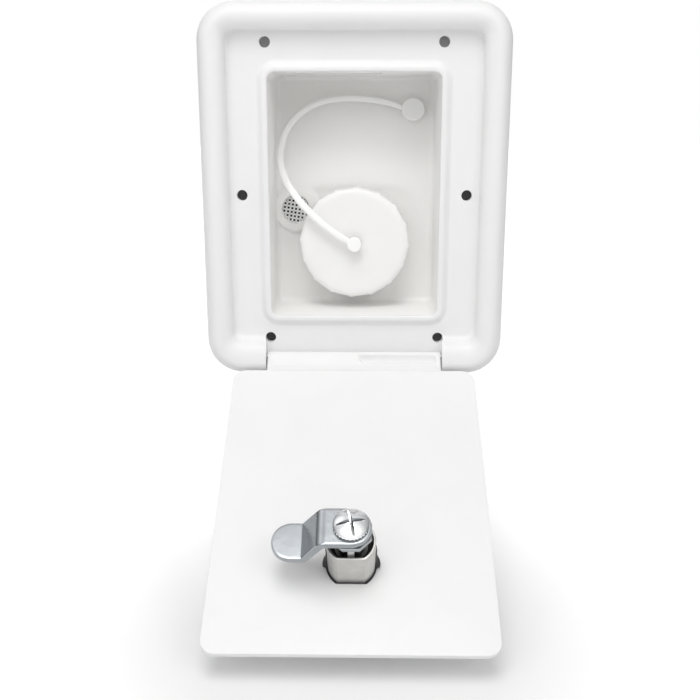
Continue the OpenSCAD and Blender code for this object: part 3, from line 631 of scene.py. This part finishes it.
def make_cap():
    """The cap's shell: a flat face, a round shoulder, a ribbed side and a bore."""
    segments, shoulder_steps = CAP_RIBS * 16, 12
    rib_depth = 0.85
    body_r = CAP_R - rib_depth

    def ring(radius, y, proud=0.0):
        points = []
        for k in range(segments):
            angle = 2 * math.pi * k / segments
            at = radius + proud * rib_depth * rib(angle)
            points.append((at * math.cos(angle), y, -at * math.sin(angle) + NECK_Z))
        return points

    front, back = CAP_FACE_Y, CAP_FACE_Y + CAP_L
    shoulder_in = CAP_R - CAP_SHOULDER_W - 0.6
    rings = [ring(RIVET_HOLE_R, front + CAP_FACE_T), ring(RIVET_HOLE_R, front + 0.2),
             ring(RIVET_HOLE_R + 0.2, front), ring(8, front + 0.02), ring(16, front + 0.05),
             ring(shoulder_in - 0.4, front + 0.05)]
    for step in range(1, shoulder_steps + 1):
        angle = math.radians(90 * step / shoulder_steps)
        radius = shoulder_in + (body_r - shoulder_in) * math.sin(angle)
        y = front + 0.06 + CAP_SHOULDER_H * (1 - math.cos(angle))
        rings.append(ring(radius, y, smooth_step(step, 3, shoulder_steps - 1)))
    rings += [ring(body_r, front + 4, 1), ring(body_r, back - 0.5, 1), ring(body_r - 0.12, back - 0.12, 1),
              ring(body_r - 0.45, back, 1), ring(CAP_BORE_R + 0.3, back), ring(CAP_BORE_R, back - 0.3),
              ring(CAP_BORE_R, front + CAP_FACE_T + 0.6), ring(CAP_BORE_R - 0.6, front + CAP_FACE_T)]
    points, faces = loft(rings, closed_loop=True)
    piece = add_mesh("cap_shell", points, faces, "cap", cap_white, smooth_angle=50)
    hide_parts("filler_cap")


def make_knob():
    """The strap's end on the cap, with the rivet that the cap turns on."""
    front, back = KNOB_FRONT_Y, KNOB_FRONT_Y + KNOB_T
    front_r, back_r = 0.7, 0.3
    stem_r = RIVET_HOLE_R - 0.05
    profile = [(0.001, front), (1.6, front + 0.02)]
    profile += arc((KNOB_R - front_r, front + front_r), front_r, 270, 360, 6)
    profile += arc((KNOB_R - back_r, back - back_r), back_r, 0, 90, 3)
    profile += [(2.7, back), (2.7, CAP_FACE_Y - 0.55), (3.3, CAP_FACE_Y - 0.25), (stem_r, CAP_FACE_Y - 0.25),
                (stem_r, CAP_FACE_Y + CAP_FACE_T - 0.05), (0.001, CAP_FACE_Y + CAP_FACE_T)]
    points, faces = loft(lathe(profile, 64), caps=True)
    piece = add_mesh("strap_end_knob", moved(points, z=NECK_Z), faces, "cap_carrier",
                     strap_painted_light)
    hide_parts("strap_knob")


# Route of the strap's middle: across from -1 at the left wall to 1 at the right wall, in depth
# from 0 at the cap to 1 at the anchor, and in height from 0 at the neck's axis to 1 at the anchor.
STRAP_SHARES = [
    (0.455, 0.991, 1.059), (0.313, 0.979, 1.078), (0.126, 0.954, 1.094),
    (-0.066, 0.929, 1.101), (-0.227, 0.902, 1.094), (-0.376, 0.868, 1.078), (-0.515, 0.831, 1.048),
    (-0.626, 0.798, 1.008), (-0.732, 0.764, 0.954), (-0.813, 0.727, 0.893), (-0.879, 0.684, 0.816),
    (-0.909, 0.635, 0.74), (-0.922, 0.567, 0.682), (-0.917, 0.491, 0.626), (-0.896, 0.402, 0.558),
    (-0.854, 0.316, 0.49), (-0.798, 0.218, 0.433), (-0.73, 0.126, 0.379), (-0.641, 0.052, 0.312),
    (-0.54, 0.021, 0.246), (-0.419, 0.009, 0.177), (-0.295, 0.003, 0.115), (-0.192, 0, 0.069),
    (-0.083, 0, 0.027)]
ANCHOR_SIDE = 10.6
ANCHOR_DOWN = 17
ANCHOR_X = BOX_HALF_W - ANCHOR_SIDE
ANCHOR_Z = BOX_TOP - ANCHOR_DOWN
ANCHOR_BOSS_H = 2
ANCHOR_T = 2
ANCHOR_R = 5.8
STRAP_END_Y = KNOB_FRONT_Y + KNOB_T / 2 - 0.2
STRAP_START_Y = back_depth(ANCHOR_Z) - ANCHOR_BOSS_H


def curve_through(points, steps):
    """Catmull-Rom curve through the points."""
    found = []
    last = len(points) - 1
    for i in range(last):
        a, b, c, d = (Vector(points[j]) for j in (max(i - 1, 0), i, i + 1, min(i + 2, last)))
        for k in range(steps):
            t = k / steps
            found.append(0.5 * (2 * b + (c - a) * t + (2 * a - 5 * b + 4 * c - d) * t * t
                                + (3 * b - a - 3 * c + d) * t ** 3))
    found.append(Vector(points[-1]))
    return found


def make_strap():
    """A moulded strap with an oval section, wider at the cap."""
    route = [(ANCHOR_X - ANCHOR_R - 0.3, STRAP_START_Y, NECK_Z + 1.03 * (ANCHOR_Z - NECK_Z))]
    route += [(x * BOX_HALF_W, STRAP_END_Y + y * (STRAP_START_Y - STRAP_END_Y),
               NECK_Z + z * (ANCHOR_Z - NECK_Z)) for x, y, z in STRAP_SHARES]
    steps, run_on = 5, 0.6
    path = curve_through(route, steps)
    path.insert(0, path[0] + (path[0] - path[1]).normalized() * run_on)
    path.append(path[-1] + (path[-1] - path[-2]).normalized() * run_on)
    count, sides = len(path), 20
    start_w, more_w, start_half_t, more_half_t = 2.95, 0.6, 1.15, 0.1
    end_share, end_steps, squareness = 0.8, 6, 0.8
    rings = []
    for i, point in enumerate(path):
        along = (path[min(i + 1, count - 1)] - path[max(i - 1, 0)]).normalized()
        flat = along.cross(Vector((0, -1, 0))).normalized()
        out = flat.cross(along)
        share = i / (count - 1)
        half_w = (start_w + more_w * share) / 2
        half_t = start_half_t + more_half_t * share
        neck = min(1, end_share + (1 - end_share) * min(i, count - 1 - i) / end_steps)
        ring = []
        for k in range(sides):
            angle = 2 * math.pi * k / sides
            c, s = math.cos(angle), math.sin(angle)
            wide = math.copysign(abs(c) ** squareness, c)
            tall = math.copysign(abs(s) ** squareness, s)
            ring.append(point + flat * half_w * neck * wide + out * half_t * tall)
        rings.append(ring)
    points, faces = loft(rings, caps=True)
    piece = add_mesh("strap_band", points, faces, None, strap_painted_light)
    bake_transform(piece)
    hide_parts("cap_strap")


def make_anchor():
    """The strap's round end, on its boss on the sloping wall."""
    tilt = math.atan2(BOX_DEPTH_TOP - BOX_DEPTH, BOX_TOP - SLOPE_Z)
    turn = Matrix.Rotation(-tilt, 3, "X")
    base = Vector((ANCHOR_X, back_depth(ANCHOR_Z), ANCHOR_Z))
    low, high = -ANCHOR_BOSS_H, -ANCHOR_BOSS_H - ANCHOR_T
    edge_r = 0.7
    profile = [(0.001, high + 0.12), (1.5, high + 0.1), (3.6, high)]
    profile += arc((ANCHOR_R - edge_r, high + edge_r), edge_r, 270, 360, 6)
    profile += [(ANCHOR_R, low - 0.2), (ANCHOR_R - 0.2, low), (0.001, low)]
    points, faces = loft(lathe(profile, 72), caps=True)
    placed = [turn @ Vector(p) + base for p in points]
    piece = add_mesh("strap_anchor_disc", placed, faces, "root", strap_painted_light)
    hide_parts("strap_anchor")


# Lid and lock

def double_d(width, flats):
    """Outline of a circle with two flats, in x and z."""
    radius, steps = width / 2, 20
    limit = math.degrees(math.asin(flats / width))
    right = arc((0, 0), radius, -limit, limit, steps)
    left = arc((0, 0), radius, 180 - limit, 180 + limit, steps)
    return right + left


def make_lid():
    """The lid's plate, with a small round on its inner edge, a larger one outside and the lock's hole."""
    in_r, out_r = 0.25, 0.6
    levels = [(in_r * (1 - math.sin(a)), LID_INNER_Y - in_r * (1 - math.cos(a)))
              for a in np.radians(np.linspace(0, 90, 5))]
    levels += [(out_r * (1 - math.cos(a)), LID_OUTER_Y + out_r * (1 - math.sin(a)))
               for a in np.radians(np.linspace(0, 90, 7))]
    rings = [rounded_ring(LID_HALF_W - inset, LID_LOW_Z + inset, LID_HIGH_Z - inset,
                          LID_CORNER_R - inset, y, steps=14) for inset, y in levels]
    points, faces = loft(rings, caps=True)
    piece = add_mesh("lid_plate", points, faces, None, lid_painted_light)
    play, beyond = 0.2, 2
    outline = double_d(LOCK_D + play, LOCK_FLATS + play)
    hole = loft([[(x, y, z + LOCK_Z) for x, z in outline]
                 for y in (LID_OUTER_Y - beyond, LID_INNER_Y + beyond)], caps=True)
    cut_out(piece, hole)
    open_mesh(piece, 30)
    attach(piece, "lid")
    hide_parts("lid_panel")


def cam_place(along, side, up):
    """Bends a point of the flat cam into place. along runs from the lock's axis to the tip."""
    near_r, far_r = 3.2, 1.7
    turn = math.atan2(CAM_H - TIP_H, BEND_FAR - BEND_NEAR)
    slant = math.hypot(CAM_H - TIP_H, BEND_FAR - BEND_NEAR)
    bend = BEND_NEAR - CAM_T / 2 * math.tan(turn / 2)
    first = bend - near_r * math.tan(turn / 2)
    run = slant - (near_r + far_r) * math.tan(turn / 2)
    x, y, angle = min(along, first), CAM_TOP_Y - CAM_T / 2, 0.0
    left = along - first
    if left > 0:
        angle = min(left / near_r, turn)
        x += near_r * math.sin(angle)
        y -= near_r * (1 - math.cos(angle))
        left -= near_r * turn
    if left > 0:
        x += min(left, run) * math.cos(turn)
        y -= min(left, run) * math.sin(turn)
        left -= run
    if left > 0:
        angle = turn - min(left / far_r, turn)
        x += far_r * (math.sin(turn) - math.sin(angle))
        y -= far_r * (math.cos(angle) - math.cos(turn))
        left -= far_r * turn
    if left > 0:
        x += left
    return (-(x + up * math.sin(angle)), y + up * math.cos(angle), side + LOCK_Z)


def cam_length():
    """Length of the flat cam, such that the bent one reaches CAM_L."""
    low, high = CAM_L, 2 * CAM_L
    for _ in range(40):
        middle = (low + high) / 2
        if -cam_place(middle, 0, 0)[0] < CAM_L:
            low = middle
        else:
            high = middle
    return low


def make_cam():
    """The bent cam. Its levels give how far the outline is drawn in, and the height over its middle."""
    radius, round_r = CAM_W / 2, 0.55
    length = cam_length()
    half_t = CAM_T / 2

    def half_outline(inset):
        r = radius - inset
        hub = [(r * math.cos(a), r * math.sin(a)) for a in np.radians(np.linspace(180, 90, 17))]
        tip = [(length - radius + r * math.cos(a), r * math.sin(a))
               for a in np.radians(np.linspace(90, 0, 17))]
        middle = [(s, r) for s in np.linspace(0, length - radius, 60)[1:-1]]
        return hub + middle + tip

    upper = [(1.3, half_t), (0.8, half_t), (round_r * 0.6, half_t - 0.04),
             (round_r * 0.2, half_t - 0.2), (0, half_t - round_r)]
    levels = upper + [(inset, -up) for inset, up in reversed(upper)]
    rings = []
    for inset, up in levels:
        half = half_outline(inset)
        loop = half + [(s, -w) for s, w in reversed(half[1:-1])]
        rings.append([cam_place(s, w, up) for s, w in loop])
    points, faces = loft(rings)
    count, half_count = len(rings[0]), len(half_outline(0))
    for base, flip in ((0, False), ((len(rings) - 1) * count, True)):
        for i in range(half_count - 1):
            a, b = i, i + 1
            c, d = (count - b) % count, (count - a) % count
            face = [base + a, base + b] + ([base + c] if c != b else []) + ([base + d] if d != a else [])
            faces.append(tuple(reversed(face)) if flip else tuple(face))
    piece = add_mesh("cam_arm", opened(points), faces, "lock_cam", zinc, smooth_angle=35)
    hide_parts("cam")


def make_screw():
    """Domed head with a ridged side and a cross recess whose arms run out to the edge."""
    head_r, edge_h, head_h = 7, 1.5, 4.2
    groove = 0.955
    seat = CAM_TOP_Y
    dome = head_h - edge_h
    sphere_r = (head_r ** 2 + dome ** 2) / (2 * dome)
    limit = math.degrees(math.asin((head_r - 0.45) / sphere_r))
    profile = [(0.001, seat - 5), (1.95, seat - 5), (1.95, seat), (head_r - 1.5, seat),
               (head_r - 1.2, seat + 0.25), (head_r - 0.45, seat + 0.85), (head_r, seat + edge_h - 0.2),
               (head_r - 0.12, seat + edge_h)]
    profile += [(sphere_r * math.sin(a), seat + head_h - sphere_r + sphere_r * math.cos(a))
                for a in np.radians(np.linspace(limit, 0.1, 24))]
    points, faces = loft(lathe(profile, 120), caps=True)
    for number, (x, y, z) in enumerate(points):
        if seat + 0.2 < y < seat + edge_h - 0.1 and number % 4 < 2:
            points[number] = (x * groove, y, z * groove)
    piece = add_mesh("cam_screw_head", moved(points, z=LOCK_Z), faces, None, chrome)
    top = seat + head_h
    cutters = []
    for turn in (12, 102):
        c, s = math.cos(math.radians(turn)), math.sin(math.radians(turn))
        rings = []
        for y, reach, width in ((top - 2.6, 1.1, 0.2), (top - 2.1, 3.2, 0.25), (top - 1.9, 5.6, 0.3),
                                (top + 1, 6.3, 0.95)):
            rings.append([(c * a + s * b, y, -s * a + c * b + LOCK_Z)
                          for a, b in ((reach, width), (-reach, width), (-reach, -width), (reach, -width))])
        cutters.append(loft(rings, caps=True))
    cut_out(piece, *cutters)
    open_mesh(piece, 35)
    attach(piece, "lock_cam")
    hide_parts("cam_screw")


def make_lock_body():
    """The lock's body with its two flats. The hollow at its inner end follows the same outline."""
    wall, hollow, bore_r, round_r = 0.9, 5.0, 6.55, 0.25
    top = LOCK_TOP_Y

    def outline(inset):
        return double_d(LOCK_D - 2 * inset, LOCK_FLATS - 2 * inset)

    def circle(radius):
        half = [(radius * math.cos(a), radius * math.sin(a)) for a in np.radians(np.linspace(-90, 90, 21))]
        return half + [(-x, -z) for x, z in half]

    levels = [(circle(bore_r), LID_OUTER_Y), (outline(0), LID_OUTER_Y), (outline(0), top - round_r),
              (outline(round_r * 0.3), top - round_r * 0.3), (outline(round_r), top),
              (outline(wall - 0.1), top), (outline(wall), top - 0.1), (outline(wall), top - hollow),
              (circle(bore_r), top - hollow)]
    rings = [[(x, y, z + LOCK_Z) for x, z in ring] for ring, y in levels]
    points, faces = loft(rings, closed_loop=True)
    piece = add_mesh("lock_barrel", opened(points), faces, "lid", cast, smooth_angle=30)
    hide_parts("lock_body")


def make_plug_tab():
    """The small stop on the plug that shows in the hollow of the lock's body."""
    half_w, below, near, far, under_stop = 1.3, 4.6, 3.6, 6.2, 0.1
    points, faces = box_mesh((-half_w, LOCK_TOP_Y - below, near),
                             (half_w, CAM_UNDER_Y - STOP_T - under_stop, far))
    piece = add_mesh("plug_stop", opened(moved(points, z=LOCK_Z)), faces, "lock_cam", pale)
    change = piece.modifiers.new("edges", "BEVEL")
    change.width = 0.2 * MM
    change.segments = 2


def make_stop_plate():
    """An eight-sided plate with rounded corners under the cam, and a round hub through it."""
    flats, corner_r, hub_r, half_side = 16.2, 1.2, 4.1, 22.5
    top = CAM_UNDER_Y
    reach = (flats / 2 - corner_r) / math.cos(math.radians(half_side))
    rings = []
    levels = ((0.35, top - STOP_T + 0.25), (0, top - STOP_T + 0.55), (0, top - 0.75), (0.35, top - 0.45))
    for inset, y in levels:
        ring = []
        for k in range(8):
            middle = half_side + 2 * half_side * k
            x, z = reach * math.cos(math.radians(middle)), reach * math.sin(math.radians(middle))
            ring += [(px, y, pz + LOCK_Z) for px, pz in
                     arc((x, z), corner_r - inset, middle - half_side, middle + half_side, 4)]
        rings.append(ring)
    hub = [[(hub_r * px, y, hub_r * pz + LOCK_Z) for px, pz in arc((0, 0), 1, 0, 351, 39)]
           for y in (top - STOP_T, top)]
    points, faces = gather([loft(rings, caps=True), loft(hub, caps=True)])
    piece = add_mesh("stop_disc", opened(points), faces, "lock_cam", zinc, smooth_angle=35)
    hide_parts("stop_plate")


def make_lock_seal():
    """A thin black seal that shows beside the round sides of the lock's body. Its levels give how far it
    stands out at the round sides and at the flats, and its height over the lid."""
    levels = ((0.02, 0.02, 0.0), (0.5, 0.07, 0.0), (0.55, 0.08, 0.2), (0.4, 0.05, 0.42), (0.02, 0.02, 0.45))
    rings = [[(x, LID_INNER_Y + up, z + LOCK_Z)
              for x, z in double_d(LOCK_D + 2 * grow, LOCK_FLATS + 2 * flat)] for grow, flat, up in levels]
    points, faces = loft(rings, closed_loop=True)
    piece = add_mesh("lock_seal", opened(points), faces, "lid", black)
    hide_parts("lock_gasket")


def make_lock_clips():
    """Thin black strips up the round sides of the body, each with barbs near the lid."""
    strip = 0.45
    outline = [(-0.1, 0.5), (0.9, 0.5), (0.6, 1.2), (1.95, 1.5), (0.7, 2.2), (1.75, 2.7), (0.55, 3.5),
               (1.35, 4.1), (0.5, 4.8), (0.95, 5.3), (strip, 6), (strip, 12.6), (0.1, 13.2), (-0.1, 13.2)]
    strips = []
    for side in (-1, 1):
        rings = []
        for z, shrink in ((-1.9, 0.7), (-1.6, 0.95), (0, 1), (1.6, 0.95), (1.9, 0.7)):
            rings.append([(side * (LOCK_D / 2 - z * z / LOCK_D + out * shrink), LID_INNER_Y + up, LOCK_Z + z)
                          for out, up in outline])
        strips.append(loft(rings, caps=True))
    points, faces = gather(strips)
    piece = add_mesh("lock_barbs", opened(points), faces, "lid", black, smooth_angle=25)
    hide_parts("lock_clips")


def make_leaf():
    """The hinge leaf and its barrel, with a shallow scoop in the right half of its inner face."""
    barrel_r, angle_in, angle_out = 2.1, 30, 20
    half_w, edge, into_lid = 41.8, 0.35, 0.02
    lid_edge = Vector((LID_INNER_Y, LID_LOW_Z + into_lid))
    tangent = Vector((HINGE.y + barrel_r * math.cos(math.radians(angle_in)),
                      HINGE.z + barrel_r * math.sin(math.radians(angle_in))))
    along = (lid_edge - tangent).normalized()
    length = (lid_edge - tangent).length
    inward = Vector((-along.y, along.x))
    if inward.x > 0:
        inward = -inward
    scoop_from, scoop_to, scoop_l, scoop_depth = 2.0, 39.6, 4.9, 1.5
    round_w, end_w, deepest, least = 3.2, 0.8, 0.6, 0.3
    ridge_at, ridge_h = 5.3, 0.45

    def scoop(x, s):
        """Depth of the scoop at x and at s along the leaf. It is round at its left end."""
        if not scoop_from < x < scoop_to or s > scoop_l:
            return 0.0
        left = min(1, (x - scoop_from) / round_w)
        reach = scoop_l * math.sqrt(max(1 - (1 - left) ** 2, 0))
        if s > reach:
            return 0.0
        end = smooth_step(scoop_to - x, 0, end_w)
        down = math.sin(math.pi / 2 * min(s / (deepest * reach), 1))
        up = 1 - smooth_step(s, deepest * reach, reach)
        return scoop_depth * down * up * end * min(1, left + least)

    ends = [side * (half_w - edge * share) for side in (-1, 1) for share in (0, 0.3, 1)]
    spans = ((-38, scoop_from - 0.3, 12), (scoop_from - 0.1, scoop_from + 4, 16),
             (scoop_from + 5, scoop_to - 2, 16), (scoop_to - 1.2, scoop_to + 0.1, 6))
    stations = sorted(ends + [x for start, end, count in spans for x in np.linspace(start, end, count)])
    rings = []
    for x in stations:
        pull = edge * (1 - math.sqrt(max(1 - (1 - min(half_w - abs(x), edge) / edge) ** 2, 0)))
        outline = []
        for s in np.linspace(0.001, length, 22):
            rise = ridge_h * min(s / ridge_at, (length - s) / (length - ridge_at))
            outline.append(tangent + along * s + inward * (scoop(x, s) + pull - rise))
        outline.append(Vector((LID_OUTER_Y + pull, LID_LOW_Z + into_lid)))
        for angle in np.radians(np.linspace(180 + angle_out, 360 + angle_in, 22)):
            outline.append(HINGE.yz + (barrel_r - pull) * Vector((math.cos(angle), math.sin(angle))))
        rings.append([(x, p.x, p.y) for p in outline])
    points, faces = loft(rings, caps=True)
    piece = add_mesh("hinge_strip", opened(points), faces, "lid", leaf_painted_shade)
    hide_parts("hinge_leaf")


# Floor, light and the painted shade behind the holes

FLOOR_Z = -175


def calculate(tree, operation, *values):
    """Output of a maths node. Its values are sockets or plain numbers."""
    node = tree.nodes.new("ShaderNodeMath")
    node.operation = operation
    for socket, value in zip(node.inputs, values):
        if isinstance(value, (int, float)):
            socket.default_value = value
        else:
            tree.links.new(value, socket)
    return node.outputs[0]


def make_stage():
    """A plain floor that keeps the object's shadow, and that the camera and mirroring surfaces see as
    white, by a glow that grows with the distance from the object. The glow's distances are in metres."""
    reach, glow_reach = 6000, 1.5
    glow_stops = ((0.062, 0.0), (0.17, 0.41), (1.2, 0.62))
    points = [(x * reach, y * reach, FLOOR_Z) for x, y in ((-1, -1), (1, -1), (1, 1), (-1, 1))]
    material, tree, shader = new_material("floor_white")
    shader.inputs["Base Color"].default_value = (0.95, 0.95, 0.95, 1)
    shader.inputs["Roughness"].default_value = 0.9
    shader.inputs["Specular IOR Level"].default_value = 0.1
    shift = tree.nodes.new("ShaderNodeVectorMath")
    shift.operation = "SUBTRACT"
    shift.inputs[1].default_value = (0, -0.1, FLOOR_Z * MM)
    tree.links.new(object_place(tree), shift.inputs[0])
    away = tree.nodes.new("ShaderNodeVectorMath")
    away.operation = "LENGTH"
    tree.links.new(shift.outputs["Vector"], away.inputs[0])
    spread = tree.nodes.new("ShaderNodeMapRange")
    spread.inputs["From Max"].default_value = glow_reach
    tree.links.new(away.outputs["Value"], spread.inputs["Value"])
    level = ramp(tree, spread.outputs["Result"],
                 [(distance / glow_reach, grey(strength)) for distance, strength in glow_stops])
    path = tree.nodes.new("ShaderNodeLightPath")
    seen = path.outputs["Is Camera Ray"]
    for name in ("Is Glossy Ray", "Is Transmission Ray"):
        seen = calculate(tree, "MAXIMUM", seen, path.outputs[name])
    shader.inputs["Emission Color"].default_value = (1, 1, 1, 1)
    tree.links.new(calculate(tree, "MULTIPLY", seen, level), shader.inputs["Emission Strength"])
    floor = add_mesh("floor", points, [(0, 1, 2, 3)], None, material)
    if floor.data.polygons[0].normal.z < 0:
        floor.data.flip_normals()


def paint_shade_in_holes():
    """Dark discs behind each screw hole and the vent are painted shade for the dark seen through them,
    less dark at the two upper holes. The discs don't show from behind."""
    # Painted shade: tones of the discs behind the screw holes and the vent.
    screw_y, shade_r, dark, upper = 0.3, 3.4, 0.055, 0.32
    vent_y, vent_tone = BOX_DEPTH + 1.2, 0.01
    places = [(x, z, screw_y, shade_r, upper if z > 0 else dark) for x, z in SCREW_PLACES]
    places.append((VENT_X, VENT_Z, vent_y, GAUZE_R, vent_tone))
    for number, (x, z, y, radius, tone) in enumerate(places):
        name = "hole_painted_shade_%d" % (number + 1)
        ring = [(px + x, y, pz + z) for px, pz in arc((0, 0), radius, 0, 345, 23)]
        material, tree, shader = new_material(name)
        shader.inputs["Base Color"].default_value = (*grey(tone), 1)
        shader.inputs["Roughness"].default_value = 0.9
        clear = tree.nodes.new("ShaderNodeBsdfTransparent")
        mix = tree.nodes.new("ShaderNodeMixShader")
        side = tree.nodes.new("ShaderNodeNewGeometry")
        tree.links.new(side.outputs["Backfacing"], mix.inputs["Fac"])
        tree.links.new(shader.outputs[0], mix.inputs[1])
        tree.links.new(clear.outputs[0], mix.inputs[2])
        tree.links.new(mix.outputs[0], tree.nodes["Material Output"].inputs["Surface"])
        disc = add_mesh(name, ring, [tuple(range(len(ring)))], None, material)
        if disc.data.polygons[0].normal.y > 0:
            disc.data.flip_normals()


def add_area(name, place, size, watts):
    """A round lamp that faces the object."""
    middle = Vector((0, -30, -20))
    data = bpy.data.lights.new(name, "AREA")
    data.energy = watts
    data.size = size * MM
    data.shape = "DISK"
    lamp = bpy.data.objects.new(name, data)
    bpy.context.scene.collection.objects.link(lamp)
    lamp.location = Vector(place) * MM
    lamp.rotation_euler = (middle - Vector(place)).to_track_quat("-Z", "Y").to_euler()


def make_light():
    """A soft studio: even light, stronger from the front and above, and three large lamps. Mirroring
    surfaces see a stronger version of it with one bright box at the side, and the camera sees white."""
    around, front, above = 0.29, 0.14, 0.27
    gloss_around, gloss_front, gloss_above = 0.16, 1.1, 0.85
    side_box_place, side_box_edge = (-0.675, 0.23, 0.70), 25
    world = bpy.data.worlds.new("studio")
    bpy.context.scene.world = world
    world.use_nodes = True
    tree = world.node_tree
    place = tree.nodes.new("ShaderNodeTexCoord")
    axes = tree.nodes.new("ShaderNodeSeparateXYZ")
    tree.links.new(place.outputs["Generated"], axes.inputs[0])

    def lobe(value, scale):
        """Grows towards one side and is nothing on the other."""
        return calculate(tree, "MAXIMUM", calculate(tree, "MULTIPLY", value, scale), 0)

    def sky(even, from_front, from_above):
        """Light from all around, and more of it from two sides."""
        lobes = (lobe(axes.outputs["Y"], -from_front), lobe(axes.outputs["Z"], from_above))
        return calculate(tree, "ADD", calculate(tree, "ADD", *lobes), even)

    soft = sky(around, front, above)
    side_box = tree.nodes.new("ShaderNodeVectorMath")
    side_box.operation = "DOT_PRODUCT"
    side_box.inputs[1].default_value = side_box_place
    tree.links.new(place.outputs["Generated"], side_box.inputs[0])
    narrow = calculate(tree, "POWER", lobe(side_box.outputs["Value"], 1), side_box_edge)
    gloss = calculate(tree, "ADD", sky(gloss_around, gloss_front, gloss_above), narrow)
    path = tree.nodes.new("ShaderNodeLightPath")
    background = tree.nodes["Background"]
    background.inputs["Color"].default_value = (1, 1, 1, 1)
    tree.links.new(soft, background.inputs["Strength"])
    last = background.outputs[0]
    for ray, strength in (("Is Glossy Ray", gloss), ("Is Transmission Ray", None), ("Is Camera Ray", None)):
        seen = tree.nodes.new("ShaderNodeBackground")
        seen.inputs["Color"].default_value = (1, 1, 1, 1)
        if strength:
            tree.links.new(strength, seen.inputs["Strength"])
        mix = tree.nodes.new("ShaderNodeMixShader")
        tree.links.new(path.outputs[ray], mix.inputs["Fac"])
        tree.links.new(last, mix.inputs[1])
        tree.links.new(seen.outputs[0], mix.inputs[2])
        last = mix.outputs[0]
    tree.links.new(last, tree.nodes["World Output"].inputs["Surface"])
    add_area("front_left", (-455, -690, 430), size=400, watts=0.85)
    add_area("front_right", (455, -690, 430), size=400, watts=0.85)
    add_area("high", (-60, -540, 840), size=600, watts=4.25)


def dress_nodes():
    """Materials and softened edges of the nodes that stay as they are."""
    # These nodes take the compartment's lighter plastic, with its painted light.
    for node in ("cam_hood", "filler_neck", "hose_spigot", "vent_ring", "breather_spigot", "anchor_boss"):
        dress(node, tub_painted_light)
    for node in ("hinge_pin_left", "hinge_pin_right"):
        dress(node, steel)
    dress("lock_collar", cast)
    dress("lock_plug", plug_metal)
    dress("cap_seal", seal)
    widths = {"cam_hood": 0.8, "hose_spigot": 0.5, "breather_spigot": 0.4, "filler_neck": 0.25,
              "vent_ring": 0.5, "anchor_boss": 0.3, "lock_collar": 0.4, "lock_plug": 0.2, "cap_seal": 0.3,
              "hinge_pin_left": 0.2, "hinge_pin_right": 0.2}
    for node, width in widths.items():
        soften(node, width)


make_camera()
make_frame()
make_tub()
make_back_wall()
make_gauze()
make_cap()
make_knob()
make_strap()
make_anchor()
make_lid()
make_leaf()
make_cam()
make_screw()
make_stop_plate()
make_lock_body()
make_plug_tab()
make_lock_seal()
make_lock_clips()
dress_nodes()
make_stage()
paint_shade_in_holes()
make_light()
bpy.context.scene.view_settings.view_transform = "Standard"
